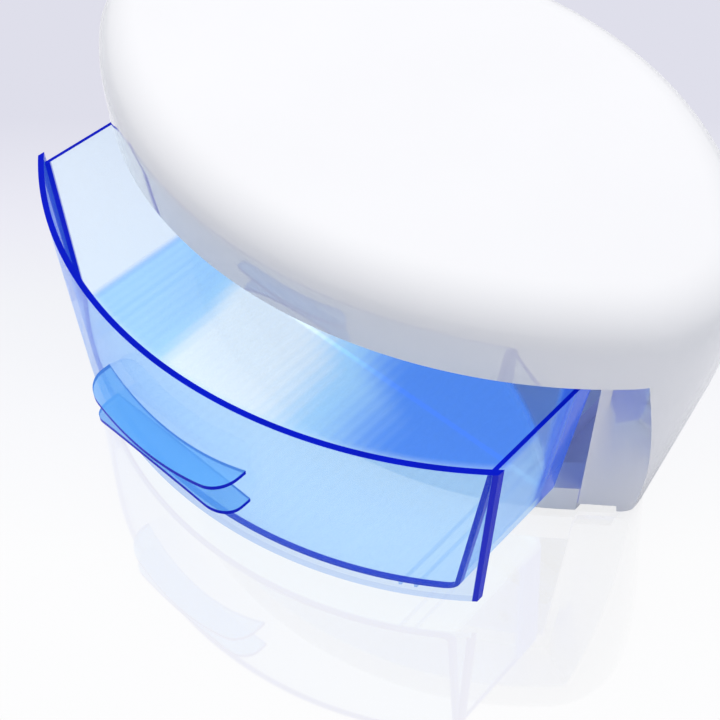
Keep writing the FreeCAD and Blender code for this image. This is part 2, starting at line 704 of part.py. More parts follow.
def drawer_tray():
    """Clear tray with leaning walls, a curved rear wall, runner ribs and stops."""
    top_extra = 10.0
    outer = tray_block(0, TRAY_UNDERSIDE, TRAY_TOP, 0)
    inner = tray_block(TRAY_WALL, TRAY_UNDERSIDE + TRAY_FLOOR, TRAY_TOP + top_extra, 30.0)
    tray = outer.cut(inner)
    z0 = TRAY_UNDERSIDE - RUNNER_DEPTH
    limits = frustum(TRAY_AXIS_Y, lambda z: tray_rear(z) - TRAY_FOOT_R - 1, z0 - STOP_DEPTH, TRAY_TOP)
    front = frustum(DRAWER_AXIS_Y, lambda z: panel_outer(z) - PANEL_THICK, z0 - STOP_DEPTH, TRAY_TOP)
    joined = TRAY_UNDERSIDE + TRAY_FLOOR / 2
    sill_back_r = rim_radius(SILL_TOP) - SILL_DEPTH
    sill_back = PANEL_AXIS_Y - math.sqrt(sill_back_r ** 2 - (STOP_X + STOP_WIDTH / 2) ** 2)
    stop_y = sill_back + SEAT_GAP + DRAWER_PULL_MORE
    half = RUNNER_WIDTH / 2
    ribs = []
    for side in (-1, 1):
        for x in (RUNNER_INNER_X, RUNNER_OUTER_X):
            rib = box(side * x - half, side * x + half, -FAR, FAR, z0, joined)
            ribs.append(rib.common(front).common(limits))
        middle = side * STOP_X
        ribs.append(box(middle - STOP_WIDTH / 2, middle + STOP_WIDTH / 2, stop_y,
                        stop_y + STOP_LENGTH, TRAY_UNDERSIDE - STOP_DEPTH, joined))
    tab_y = TRIP_TAB_Y - DRAWER_OPEN
    ribs.append(box(-RUNNER_INNER_X - half, -RUNNER_INNER_X + half, tab_y - STOP_LENGTH, tab_y,
                    TRAY_UNDERSIDE - STOP_DEPTH, joined))
    return tray.multiFuse(ribs).removeSplitter()


def lamp_deck():
    """White plate over the drawer, with the lamp's window."""
    edge = side_offset(DECK_Z) - WALL - DECK_GAP
    plate = outline_prism(edge, DECK_Z, DECK_Z + DECK_THICK).cut(recess(WALL + DECK_GAP))
    window = box(-WINDOW_HALF, WINDOW_HALF, LAMP_Y - WINDOW_HALF_DEPTH, LAMP_Y + WINDOW_HALF_DEPTH,
                 0, FAR)
    plate = plate.cut(window)
    for x, y in DECK_BOSS_PLACES:
        plate = plate.cut(disc(x, y, SCREW_CLEAR_R, 0, FAR))
    for x, y in ballast_places():
        plate = plate.cut(disc(x, y, SCREW_PILOT_R, 0, FAR))
    return plate


def reflector():
    """Folded aluminium trough over the window."""
    t = REFLECTOR_SHEET
    z0 = DECK_TOP
    foot_y = REFLECTOR_FOOT_HALF
    top_y = REFLECTOR_TOP_HALF
    flange = foot_y + REFLECTOR_FLANGE
    outside = [(-flange, z0 + t), (-foot_y - t / 2, z0 + t), (-top_y - t / 2, REFLECTOR_TOP_Z),
               (top_y + t / 2, REFLECTOR_TOP_Z), (foot_y + t / 2, z0 + t), (flange, z0 + t)]
    inside = [(flange, z0), (foot_y, z0), (top_y, REFLECTOR_TOP_Z - t),
              (-top_y, REFLECTOR_TOP_Z - t), (-foot_y, z0), (-flange, z0)]
    section = [(LAMP_Y + y, z) for y, z in outside + inside]
    return prism_x(section, -REFLECTOR_HALF, REFLECTOR_HALF)


def lamp_tube():
    """Sealed glass tube, its ends inside the caps."""
    reach = LAMP_LENGTH / 2 - LAMP_CAP
    return rod(LAMP_GLASS_R, V(-reach, LAMP_Y, LAMP_Z), V(reach, LAMP_Y, LAMP_Z))


def lamp_caps():
    """The tube's two metal caps with their pins."""
    half = LAMP_LENGTH / 2
    caps = []
    for side in (-1, 1):
        cap = rod(LAMP_R, V(side * (half - LAMP_CAP), LAMP_Y, LAMP_Z), V(side * half, LAMP_Y, LAMP_Z))
        outer = [e for e in cap.Edges if abs(abs(e.CenterOfMass.x) - half) < 0.01]
        cap = cap.makeChamfer(LAMP_CAP_CHAMFER, outer)
        for way in (-1, 1):
            z = LAMP_Z + way * LAMP_PIN_SPACING / 2
            cap = cap.fuse(rod(LAMP_PIN_R, V(side * (half - 1), LAMP_Y, z),
                               V(side * (half + LAMP_PIN_LENGTH), LAMP_Y, z)))
        caps.append(cap.removeSplitter())
    return Part.makeCompound(caps)


def lamp_holder(side):
    """White holder that stands on the deck and takes the lamp's two pins."""
    inner = LAMP_LENGTH / 2 + HOLDER_PIN_GAP
    outer = inner + HOLDER_THICK
    low_y = LAMP_Y - HOLDER_WIDTH / 2
    high_y = LAMP_Y + HOLDER_WIDTH / 2
    low, high = sorted((side * inner, side * outer))
    block = box(low, high, low_y, high_y, DECK_TOP, LAMP_Z)
    head = rod(HOLDER_WIDTH / 2, V(low, LAMP_Y, LAMP_Z), V(high, LAMP_Y, LAMP_Z))
    foot_low, foot_high = sorted((side * inner, side * (outer + HOLDER_SOLE_REACH)))
    sole = box(foot_low, foot_high, low_y, high_y, DECK_TOP, DECK_TOP + HOLDER_SOLE)
    body = block.fuse(head).fuse(sole)
    for way in (-1, 1):
        z = LAMP_Z + way * LAMP_PIN_SPACING / 2
        body = body.cut(rod(LAMP_PIN_R + HOLDER_PIN_GAP, V(side * (inner - 1), LAMP_Y, z),
                            V(side * (inner + LAMP_PIN_LENGTH + HOLDER_PIN_GAP), LAMP_Y, z)))
    return body.removeSplitter()


def ballast_places():
    reach = BALLAST_LENGTH / 2 + BALLAST_EAR / 2
    return ((-reach, BALLAST_Y), (reach, BALLAST_Y))


def ballast():
    """Painted steel ballast with two mounting ears."""
    half = BALLAST_LENGTH / 2
    low_y = BALLAST_Y - BALLAST_DEPTH / 2
    high_y = BALLAST_Y + BALLAST_DEPTH / 2
    case = box(-half, half, low_y, high_y, DECK_TOP + BALLAST_SOLE, DECK_TOP + BALLAST_HEIGHT)
    long_edges = [e for e in case.Edges if e.BoundBox.XMax - e.BoundBox.XMin > half
                  and e.BoundBox.ZMin > DECK_TOP + BALLAST_HEIGHT / 2]
    case = case.makeFillet(BALLAST_EDGE_R, long_edges)
    reach = half + BALLAST_EAR
    sole = box(-reach, reach, low_y, high_y, DECK_TOP, DECK_TOP + BALLAST_SOLE)
    for x, y in ballast_places():
        sole = sole.cut(disc(x, y, SCREW_CLEAR_R, 0, FAR))
    return case.fuse(sole).removeSplitter()


def starter_pin_places():
    half = STARTER_PIN_SPACING / 2
    return (STARTER_Y - half, STARTER_Y + half)


def starter():
    """Starter can, lying along X, with its two contact pins."""
    z = DECK_TOP + STARTER_RISE
    end_x = STARTER_X + STARTER_LENGTH
    can = rod(STARTER_R, V(STARTER_X, STARTER_Y, z), V(end_x, STARTER_Y, z))
    far_rim = [e for e in can.Edges if e.CenterOfMass.x > end_x - 0.01]
    can = can.makeChamfer(STARTER_CHAMFER, far_rim)
    neck_x = STARTER_X - STARTER_PIN_NECK
    pins = []
    for y in starter_pin_places():
        pins.append(rod(STARTER_PIN_R, V(neck_x, y, z), V(STARTER_X + 1, y, z)))
        pins.append(rod(STARTER_PIN_HEAD_R, V(STARTER_X - STARTER_PIN_LENGTH, y, z), V(neck_x, y, z)))
    return can.multiFuse(pins).removeSplitter()


def starter_socket():
    """Socket that holds the starter."""
    z = DECK_TOP + STARTER_RISE
    front = STARTER_X - SOCKET_GAP
    low_y = STARTER_Y - SOCKET_HALF
    high_y = STARTER_Y + SOCKET_HALF
    body = box(front - SOCKET_THICK, front, low_y, high_y, DECK_TOP, z + SOCKET_HEAD)
    sole = box(front - SOCKET_SOLE_REACH, front, low_y, high_y, DECK_TOP, DECK_TOP + SOCKET_SOLE)
    body = body.fuse(sole)
    for y in starter_pin_places():
        body = body.cut(rod(STARTER_PIN_HEAD_R + SOCKET_GAP, V(front - SOCKET_BORE, y, z),
                            V(front + 1, y, z)))
    return body.removeSplitter()


def terminal_block():
    """Terminal strip: one barrel for each pole on a common sole, with two screw wells each."""
    length = TERMINAL_POLES * TERMINAL_PITCH
    low_y = TERMINAL_Y - TERMINAL_SOLE_HALF
    high_y = TERMINAL_Y + TERMINAL_SOLE_HALF
    sole = box(TERMINAL_X, TERMINAL_X + length, low_y, high_y, DECK_TOP, DECK_TOP + TERMINAL_SOLE)
    half = TERMINAL_BARREL / 2
    well = TERMINAL_WELL / 2
    pieces = []
    holes = []
    for i in range(TERMINAL_POLES):
        x = TERMINAL_X + (i + 0.5) * TERMINAL_PITCH
        pieces.append(box(x - half, x + half, TERMINAL_Y - TERMINAL_BARREL_HALF,
                          TERMINAL_Y + TERMINAL_BARREL_HALF, DECK_TOP + TERMINAL_SOLE / 2,
                          DECK_TOP + TERMINAL_BARREL_TOP))
        for way in (-1, 1):
            y = TERMINAL_Y + way * TERMINAL_WELL_SPACING / 2
            low_z = DECK_TOP + TERMINAL_BARREL_TOP - 1
            pieces.append(box(x - well, x + well, y - well, y + well, low_z,
                              DECK_TOP + TERMINAL_WELL_TOP))
            holes.append(disc(x, y, TERMINAL_WELL_R, low_z, FAR))
    body = sole.multiFuse(pieces)
    for hole in holes:
        body = body.cut(hole)
    return body.removeSplitter()


def upright_plate(x, half_x, half_z, thick, corner_r):
    """Flange on the rear flat: a plate with rounded corners."""
    plate = box(x - half_x, x + half_x, PAD_FACE_Y, PAD_FACE_Y + thick,
                FITTING_Z - half_z, FITTING_Z + half_z)
    corners = [e for e in plate.Edges if e.BoundBox.YMax - e.BoundBox.YMin > thick * 0.9]
    return plate.makeFillet(corner_r, corners)


def mains_inlet():
    """Two-pole mains inlet: flange on the rear flat, body behind it, a socket shaped like an 8."""
    flange = upright_plate(INLET_X, INLET_FLANGE_HALF_X, INLET_FLANGE_HALF_Z, INLET_FLANGE,
                           INLET_CORNER_R)
    body = box(INLET_X - INLET_HALF_X, INLET_X + INLET_HALF_X, PAD_FACE_Y - INLET_DEPTH, PAD_FACE_Y,
               FITTING_Z - INLET_HALF_Z, FITTING_Z + INLET_HALF_Z)
    shape = flange.fuse(body)
    half = INLET_PIN_SPACING / 2
    floor_y = PAD_FACE_Y - INLET_SOCKET_DEPTH
    mouth_y = PAD_FACE_Y + INLET_FLANGE + 1
    holes = [box(INLET_X - half, INLET_X + half, floor_y, mouth_y,
                 FITTING_Z - INLET_SOCKET_WAIST, FITTING_Z + INLET_SOCKET_WAIST)]
    for way in (-1, 1):
        x = INLET_X + way * half
        holes.append(rod(INLET_SOCKET_R, V(x, floor_y, FITTING_Z), V(x, mouth_y, FITTING_Z)))
        holes.append(rod(INLET_PIN_R, V(x, PAD_FACE_Y - INLET_DEPTH - 1, FITTING_Z),
                         V(x, floor_y + 0.5, FITTING_Z)))
    for hole in holes:
        shape = shape.cut(hole)
    return shape.removeSplitter()


def inlet_pins():
    """The inlet's two round pins, with their solder tails."""
    tail_y = PAD_FACE_Y - INLET_DEPTH - INLET_PIN_TAIL
    pins = []
    for way in (-1, 1):
        x = INLET_X + way * INLET_PIN_SPACING / 2
        pins.append(rod(INLET_PIN_R, V(x, tail_y, FITTING_Z),
                        V(x, PAD_FACE_Y - INLET_PIN_SINK, FITTING_Z)))
    return Part.makeCompound(pins)


def switch_body():
    """Switch frame and body on the rear flat, open at the back for the rocker."""
    flange = upright_plate(SWITCH_X, SWITCH_FLANGE_HALF_X, SWITCH_FLANGE_HALF_Z, SWITCH_FLANGE,
                           SWITCH_CORNER_R)
    back_y = PAD_FACE_Y - SWITCH_DEPTH
    body = box(SWITCH_X - SWITCH_HALF_X, SWITCH_X + SWITCH_HALF_X, back_y, PAD_FACE_Y,
               FITTING_Z - SWITCH_HALF_Z, FITTING_Z + SWITCH_HALF_Z)
    well_x = ROCKER_HALF_X + ROCKER_GAP
    well_z = ROCKER_HALF_Z + ROCKER_END_GAP
    well = box(SWITCH_X - well_x, SWITCH_X + well_x, PAD_FACE_Y - SWITCH_WELL_DEPTH,
               PAD_FACE_Y + SWITCH_FLANGE + 1, FITTING_Z - well_z, FITTING_Z + well_z)
    reach = ROCKER_HALF_X + ROCKER_PIVOT_REACH + ROCKER_PIVOT_GAP
    hole = rod(ROCKER_PIVOT_R + ROCKER_PIVOT_GAP, V(SWITCH_X - reach, ROCKER_AXIS_Y, FITTING_Z),
               V(SWITCH_X + reach, ROCKER_AXIS_Y, FITTING_Z))
    tabs = []
    for way in (-1, 1):
        z = FITTING_Z + way * SWITCH_TAB_SPACING / 2
        tabs.append(box(SWITCH_X - SWITCH_TAB_HALF, SWITCH_X + SWITCH_TAB_HALF,
                        back_y - SWITCH_TAB_LENGTH, back_y,
                        z - SWITCH_TAB_THICK / 2, z + SWITCH_TAB_THICK / 2))
    return flange.fuse(body).cut(well).cut(hole).multiFuse(tabs).removeSplitter()


def rocker():
    """Rocker with its two pivots, tilted to its off side."""
    z = FITTING_Z
    face_y = PAD_FACE_Y + ROCKER_STAND
    foot_y = ROCKER_AXIS_Y - ROCKER_FOOT_DEPTH
    side = [(foot_y, z - ROCKER_FOOT_HALF), (face_y - ROCKER_EDGE, z - ROCKER_HALF_Z),
            (face_y, z - ROCKER_HALF_Z), (face_y - ROCKER_DIP, z), (face_y, z + ROCKER_HALF_Z),
            (face_y - ROCKER_EDGE, z + ROCKER_HALF_Z), (foot_y, z + ROCKER_FOOT_HALF)]
    body = prism_x(side, SWITCH_X - ROCKER_HALF_X, SWITCH_X + ROCKER_HALF_X)
    reach = ROCKER_HALF_X + ROCKER_PIVOT_REACH
    pivot = rod(ROCKER_PIVOT_R, V(SWITCH_X - reach, ROCKER_AXIS_Y, z),
                V(SWITCH_X + reach, ROCKER_AXIS_Y, z))
    body = body.fuse(pivot)
    body.rotate(V(SWITCH_X, ROCKER_AXIS_Y, z), V(1, 0, 0), ROCKER_TILT)
    return body.removeSplitter()


def interlock_switch():
    """Small snap switch lying on two posts of the base, its plunger's slot facing the front."""
    case = box(TRIP_X - TRIP_LENGTH / 2, TRIP_X + TRIP_LENGTH / 2, TRIP_Y, TRIP_Y + TRIP_HEIGHT,
               TRIP_Z, TRIP_Z + TRIP_CASE)
    slot = box(TRIP_X - TRIP_SLOT / 2, TRIP_X + TRIP_SLOT / 2, TRIP_Y - 1, TRIP_Y + TRIP_SLOT_DEPTH,
               TRIP_Z + TRIP_SLOT_LOW, TRIP_Z + TRIP_SLOT_HIGH)
    case = case.cut(slot)
    rear_y = TRIP_Y + TRIP_HEIGHT
    low_z = TRIP_Z + (TRIP_CASE - TRIP_TAB_THICK) / 2
    for way in (-1, 0, 1):
        x = TRIP_X + way * TRIP_TAB_SPACING
        case = case.fuse(box(x - TRIP_TAB / 2, x + TRIP_TAB / 2, rear_y, rear_y + TRIP_TAB_LENGTH,
                             low_z, low_z + TRIP_TAB_THICK))
    return case.removeSplitter()


def interlock_plunger():
    """The snap switch's plunger, pushed in by the closed drawer."""
    return box(TRIP_X - TRIP_PIN / 2, TRIP_X + TRIP_PIN / 2, TRIP_TAB_Y + SEAT_GAP,
               TRIP_Y + TRIP_PIN_INSIDE, TRIP_Z + TRIP_SLOT_LOW + TRIP_PIN_GAP,
               TRIP_Z + TRIP_SLOT_HIGH - TRIP_PIN_GAP)


def main():
    os.makedirs("parts", exist_ok=True)
    save("top_housing", top_housing())
    save("base", base())
    for name, place in zip(FOOT_NAMES, FOOT_PLACES):
        save(name, foot(place))
    save("base_screws", Part.makeCompound([screw(p, BASE_BOTTOM, True) for p in LUG_PLACES]))
    save("drawer_front", drawer_front())
    save("drawer_tray", drawer_tray())
    save("lamp_deck", lamp_deck())
    save("deck_screws", Part.makeCompound([screw(p, DECK_Z, True) for p in DECK_BOSS_PLACES]))
    save("reflector", reflector())
    save("lamp_tube", lamp_tube())
    save("lamp_caps", lamp_caps())
    save("lamp_holder_left", lamp_holder(-1))
    save("lamp_holder_right", lamp_holder(1))
    save("ballast", ballast())
    ear_top = DECK_TOP + BALLAST_SOLE
    length = BALLAST_SOLE + DECK_THICK
    save("ballast_screws", Part.makeCompound([screw(p, ear_top, False, length) for p in ballast_places()]))
    save("starter", starter())
    save("starter_socket", starter_socket())
    save("terminal_block", terminal_block())
    save("mains_inlet", mains_inlet())
    save("inlet_pins", inlet_pins())
    save("switch_body", switch_body())
    save("rocker", rocker())
    save("interlock_switch", interlock_switch())
    save("interlock_plunger", interlock_plunger())
    print("origin y", round(ORIGIN_Y, 3))


main()
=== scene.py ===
import math

import bmesh
import bpy
from bmesh.types import BMEdge, BMVert
from bpy.props import FloatProperty, FloatVectorProperty, PointerProperty
from bpy.types import Operator, Panel, PropertyGroup
from mathutils import Matrix, Vector


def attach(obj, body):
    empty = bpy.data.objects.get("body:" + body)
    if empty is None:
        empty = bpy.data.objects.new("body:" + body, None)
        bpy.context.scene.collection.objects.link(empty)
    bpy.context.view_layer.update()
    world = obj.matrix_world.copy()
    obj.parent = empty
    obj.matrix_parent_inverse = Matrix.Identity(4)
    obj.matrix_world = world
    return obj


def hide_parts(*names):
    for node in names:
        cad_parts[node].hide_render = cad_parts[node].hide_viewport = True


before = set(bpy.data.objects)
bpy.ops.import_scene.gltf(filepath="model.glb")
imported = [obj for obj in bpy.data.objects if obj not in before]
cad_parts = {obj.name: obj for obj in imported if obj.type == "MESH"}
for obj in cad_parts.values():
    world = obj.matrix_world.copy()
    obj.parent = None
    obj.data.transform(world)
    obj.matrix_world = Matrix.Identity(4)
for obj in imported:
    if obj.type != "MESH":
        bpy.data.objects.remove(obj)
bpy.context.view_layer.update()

bl_info = {
    "name": "UV sterilizer dressing",
    "version": (1, 0, 0),
    "blender": (4, 5, 0),
    "location": "View3D > Sidebar > Sterilizer",
    "description": "Smooth white housing, clear blue drawer and studio for a uv sterilizer",
    "category": "Object",
}

MM = 0.001
UP = (0, 0, 1)
BLACK = (0.0, 0.0, 0.0, 1.0)
WHITE = (1.0, 1.0, 1.0, 1.0)

# Vertices this near are one, in a drawn chain and in a closed solid
CHAIN_GAP = 1e-6
SOLID_GAP = 1e-5

# Places past the part, where cutters end and the tray's section starts
BEYOND = 0.4
BELOW = -0.01
CUTTER_TOP = 0.2
TRAY_START = -0.26

# The open drawer's way out, its gap to the rim when closed, and the bay's end along Y
DRAWER_OPEN = 78.0 * MM
RIM_GAP = 0.3 * MM
BAY_REAR = 90.0 * MM

PAD_WALL = 3.5 * MM  # the shell behind its rear flat
PLATE_SWEEP = math.radians(42.0)  # half the turn of the front plate's section
LIP_SLICES = 24  # in each half of a pull lip

# Holes in the rear flat: middle along X, half width and half height; all at one height
REAR_HOLES = ((-18.0 * MM, 12.2 * MM, 7.7 * MM), (24.0 * MM, 6.7 * MM, 9.7 * MM))
REAR_HOLES_Z = 152.5 * MM

# Where the tray's painted light and shade change: start and end in metres, X and Y from the rim's axis
BLUE_RIGHT = (-0.035, 0.090)
BLUE_LEFT = (-0.072, -0.098)
BLUE_BEHIND_X = (-0.05, 0.02)
BLUE_BEHIND_Y = (-0.205, -0.175)
CLEAR_RIGHT = (0.109, 0.113)
FLOOR_TOP_Z = (0.0255, 0.029)
DARK_X = (0.118, 0.126)
DARK_Y = (-0.204, -0.196)
PAINTED_LIGHT_X = (-0.10, -0.12)

# The floor is clear outside this circle: its centre's X and Y, and its radius
CLEAR_ZONE = (-0.0744, 0.029, 0.289)

PAINTED_GLOW = 0.55  # painted glow: how much of its colour the clear plastic gives off, though it is no lamp
FLOOR_PITCH = 6.0 * MM
# Tray tones: a pale painted reflection, blue painted shade, and the tone where the floor is nearly
# clear
FLOOR_PALE = (0.84, 0.94, 1.0, 1.0)
FLOOR_BLUE = (0.42, 0.72, 1.0, 1.0)
FLOOR_CLEAR = (0.60, 0.84, 1.0, 1.0)
WALL_DARK = (0.025, 0.09, 0.64, 1.0)
WALL_PAINTED_LIGHT = (0.88, 0.95, 1.0, 1.0)

# Table colours along the view, a painted shade that greys with distance; stops from near to far in
# metres from the part's middle
NEAR_EDGE = -0.12
FAR_EDGE = 0.23
TABLE_GLOW = 0.95
TABLE_STOPS = ((0.0, WHITE), (0.25, (0.955, 0.96, 0.985, 1.0)), (0.5, (0.89, 0.90, 0.94, 1.0)),
               (0.72, (0.81, 0.81, 0.90, 1.0)), (1.0, (0.69, 0.69, 0.80, 1.0)))

LAMP_AIM_Z = 0.1
KEY_COLOUR = (1.0, 0.97, 0.925)
ROOM_COLOUR = (0.82, 0.90, 1.05, 1.0)


def length(name, text, default):
    """A size property in metres, given in millimetres."""
    return FloatProperty(name=name, description=text, default=default * MM, min=0.0,
                         unit="LENGTH", subtype="DISTANCE")


def signed(name, text, default):
    """A position property in metres, given in millimetres."""
    return FloatProperty(name=name, description=text, default=default * MM, unit="LENGTH",
                         subtype="DISTANCE")


def degrees(name, text, default):
    """An angle property, given in degrees."""
    return FloatProperty(name=name, description=text, default=math.radians(default),
                         subtype="ANGLE")


def number(name, text, default, unit="NONE"):
    """A plain number property."""
    return FloatProperty(name=name, description=text, default=default, unit=unit)


def paint(name, text, default):
    """A linear colour property."""
    return FloatVectorProperty(name=name, description=text, default=default, size=3, min=0.0,
                               max=1.0, subtype="COLOR")


class SterilizerHousing(PropertyGroup):
    """Sizes of the white shell."""
    plan_y: signed("Plan middle", "Middle of the housing's plan along Y", 27.364)
    half_width: length("Half width", "Half the outline's width", 183.5)
    front_y: signed("Front", "Front of the outline from the plan's middle", -112.1)
    rear_y: signed("Rear", "Rear of the outline from the plan's middle", 120.9)
    end_r: length("End radius", "Radius of the two end arcs", 56.24)
    end_y: signed("End axis", "Centre of the end arcs along Y from the plan's middle", -4.5)
    top: length("Top height", "Height of the flat top", 180.0)
    bottom: length("Foot height", "Height of the shell's foot above the table", 3.0)
    top_edge_r: length("Top edge", "Radius of the rounding round the top", 22.0)
    foot_edge_r: length("Foot edge", "Radius of the rounding round the foot", 6.0)
    bulge: length("Band bulge", "How far the band stands out from the outline", 1.2)
    blend: length("Blend height", "Height over which the side turns upright", 59.0)
    lean: degrees("Side lean", "Lean of the side from the vertical", 7.8)
    wall: length("Wall", "Thickness of the shell", 3.0)
    brow: length("Brow height", "Height of the band's lower edge", 137.0)
    rim_half: length("Rim half width", "Half the rim's width behind the front", 150.0)
    cheek_run: length("Cheek run", "Reach of the cheek cut beside the rim", 60.0)
    cheek_foot: number("Cheek foot slope", "Slope of the cheek at the table", 0.863)
    cheek_brow: number("Cheek brow slope", "Slope of the cheek at the brow", -0.60)
    opening_half: length("Opening half width", "Half the opening's width", 146.0)
    opening_top: length("Opening top", "Height of the drawer opening's top", 123.0)
    pocket_half: length("Rear flat half width", "Half the width of the inlet's flat", 44.0)
    pocket_low: length("Rear flat foot", "Lowest height of the rear flat", 139.0)
    pocket_high: length("Rear flat top", "Highest height of the rear flat", 166.0)
    pocket_y: length("Rear flat face", "Place of the rear flat from the plan's middle", 116.0)


class SterilizerDrawer(PropertyGroup):
    """Sizes of the clear drawer, standing open."""
    axis_y: signed("Front axis", "Axis of the curved front from the plan's middle", 69.9)
    front_r: length("Front radius", "Outer radius of the front at its top", 232.8)
    front_lean: number("Front lean", "Loss of radius per length down", 3.4 / 107.1)
    thick: length("Front thickness", "Thickness of the front plate", 3.0)
    top: length("Front top", "Height of the front's top edge", 125.0)
    bottom: length("Front foot", "Height of the front's lower edge", 17.9)
    half_top: length("Half width at top", "Half the front's width at its top", 148.5)
    half_bottom: length("Half width at foot", "Half the front's width at its foot", 145.8)
    tray_top: length("Tray top", "Height of the tray walls' top edge", 121.8)
    tray_floor: length("Tray underside", "Height of the tray's underside", 23.3)
    wall: length("Tray wall", "Thickness of the tray's walls and floor", 2.0)
    tray_half: length("Tray half width", "Half the tray's width at its top", 145.4)
    draft: number("Tray draft", "Lean of the tray's walls", 0.0832)
    rear_r: length("Tray rear radius", "Radius of the rear wall at its top", 198.5)
    rear_axis_y: signed("Tray rear axis", "Axis of the rear wall from the plan's middle", -168.0)
    corner_r: length("Tray corner", "Radius of the rear corners at the top", 10.5)
    foot_r: length("Floor edge", "Radius between the walls and the floor", 6.0)
    lip_half: length("Lip half width", "Half the width of the pull lips", 46.8)
    lip_corner_r: length("Lip corner", "Radius of the pull lips' corners", 13.0)
    lip_reach: length("Lip reach", "How far the lips stand out from the front", 15.5)
    lip_thick: length("Lip thickness", "Thickness of the pull lips", 2.6)
    upper_z: length("Upper lip", "Height of the upper lip's middle", 75.5)
    upper_rise: length("Upper lip rise", "Rise of the upper lip's ends", 6.7)
    lower_z: length("Lower lip", "Height of the lower lip's middle", 69.4)
    lower_fall: length("Lower lip fall", "Fall of the lower lip's ends", 12.4)
    runner_outer: length("Outer runner", "Place of the outer runner ribs", 120.1)
    runner_inner: length("Inner runner", "Place of the inner runner ribs", 113.7)
    runner_width: length("Runner width", "Width of a runner rib", 1.2)
    runner_depth: length("Runner depth", "Depth of the runner ribs below the floor", 2.5)


class SterilizerColours(PropertyGroup):
    """Colours of the finishes."""
    housing: paint("Housing", "White moulded shell", (0.86, 0.86, 0.88))
    base: paint("Base", "White moulded base", (0.84, 0.84, 0.87))
    clear: paint("Clear blue", "Tint of light that goes through one face", (0.925, 0.97, 1.0))
    # The deep blue is also the tray floor's painted shade
    deep: paint("Deep blue", "Colour of the clear sheet where it is seen thick", (0.115, 0.33, 0.96))
    edge: paint("Cut edge", "Edges of the clear sheet", (0.0, 0.008, 0.52))
    lip: paint("Lip blue", "Colour of the pull lips", (0.14, 0.46, 0.98))
    floor: paint("Table", "Glossy table top", (0.82, 0.82, 0.85))
    backdrop: paint("Backdrop", "Pale backdrop", (0.93, 0.93, 0.96))


class SterilizerStage(PropertyGroup):
    """Camera, lamps and table."""
    azimuth: degrees("Azimuth", "Camera's bearing round the object", 42.05)
    elevation: degrees("Elevation", "Camera's height above the horizon", 49.22)
    roll: degrees("Roll", "Camera's roll", 0.10)
    camera_x: signed("Camera X", "Camera's place along X", 298.4)
    camera_y: signed("Camera Y", "Camera's place along Y from the plan's middle", -359.3)
    camera_z: signed("Camera Z", "Camera's height", 527.9)
    lens: number("Lens", "Focal length on a 36 mm sensor, in millimetres", 60.94)
    key: number("Key lamp", "Power of the overhead softbox", 28.0, "POWER")
    left: number("Left lamp", "Power of the softbox at the left", 2.0, "POWER")
    right: number("Right lamp", "Power of the softbox at the right", 3.0, "POWER")
    ambient: number("Room light", "Strength of the room's light", 0.34)


GROUPS = (("sterilizer_housing", SterilizerHousing), ("sterilizer_drawer", SterilizerDrawer),
          ("sterilizer_colours", SterilizerColours), ("sterilizer_stage", SterilizerStage))


class Channel:
    """A value that varies over a surface. Its arithmetic adds Math nodes to the finish."""

    def __init__(self, finish, socket):
        self.finish = finish
        self.socket = socket

    def _math(self, operation, first, second):
        return self.finish.node("Math", {"operation": operation}, {0: first, 1: second})

    def __add__(self, other):
        return self._math("ADD", self, other)

    __radd__ = __add__

    def __sub__(self, other):
        return self._math("SUBTRACT", self, other)

    def __rsub__(self, other):
        return self._math("SUBTRACT", other, self)

    def __mul__(self, other):
        return self._math("MULTIPLY", self, other)

    __rmul__ = __mul__

    def __pow__(self, other):
        return self._math("POWER", self, other)


class Finish:
    """A material under construction."""

    def __init__(self, name):
        self.material = bpy.data.materials.new(name)
        self.material.use_nodes = True
        self.tree = self.material.node_tree
        self.tree.nodes.clear()

    def node(self, kind, settings, sockets, output=0):
        """Adds a shader node: its settings first, then the values or links of its sockets."""
        made = self.tree.nodes.new("ShaderNode" + kind)
        for name, value in settings.items():
            if name == "stops":
                elements = made.color_ramp.elements
                for place, _ in value[1:-1]:
                    elements.new(place)
                for element, (place, colour) in zip(elements, value):
                    element.position = place
                    element.color = colour
            else:
                setattr(made, name, value)
        for name, value in sockets.items():
            if isinstance(value, Channel):
                self.tree.links.new(value.socket, made.inputs[name])
            else:
                made.inputs[name].default_value = value
        return Channel(self, made.outputs[output])

    def place(self, scale=(1.0, 1.0, 1.0), turn=(0.0, 0.0, 0.0)):
        """Object coordinates through a Mapping node."""
        found = self.node("TexCoord", {}, {}, 3)
        return self.node("Mapping", {}, {"Vector": found, "Scale": scale, "Rotation": turn})

    def noise(self, scale, detail=2.0, roughness=0.5, vector=None):
        """Noise from 0 to 1 on Object coordinates; scale is per metre."""
        where = vector or self.place()
        return self.node("TexNoise", {}, {"Vector": where, "Scale": scale, "Detail": detail,
                                          "Roughness": roughness})

    def blend(self, amount, first, second):
        """Colour mix."""
        return self.node("Mix", {"data_type": "RGBA"}, {0: amount, 6: first, 7: second}, 2)

    def bump(self, height, strength, distance):
        """Bump from a height channel; distance in metres."""
        return self.node("Bump", {}, {"Height": height, "Strength": strength,
                                      "Distance": distance})

    def surface(self, colour, rough, ior=1.5, **more):
        """Principled surface; more holds its other sockets, with _ for a space."""
        sockets = {"Base Color": colour, "Roughness": rough, "IOR": ior}
        sockets.update((name.replace("_", " "), value) for name, value in more.items())
        return self.node("BsdfPrincipled", {}, sockets)

    def done(self, shader):
        """Links the surface and gives the material."""
        self.tree.links.new(shader.socket,
                            self.tree.nodes.new("ShaderNodeOutputMaterial").inputs["Surface"])
        return self.material


def rgba(colour, gain=1.0):
    """Linear colour with a full alpha."""
    return (*(min(part * gain, 1.0) for part in colour), 1.0)


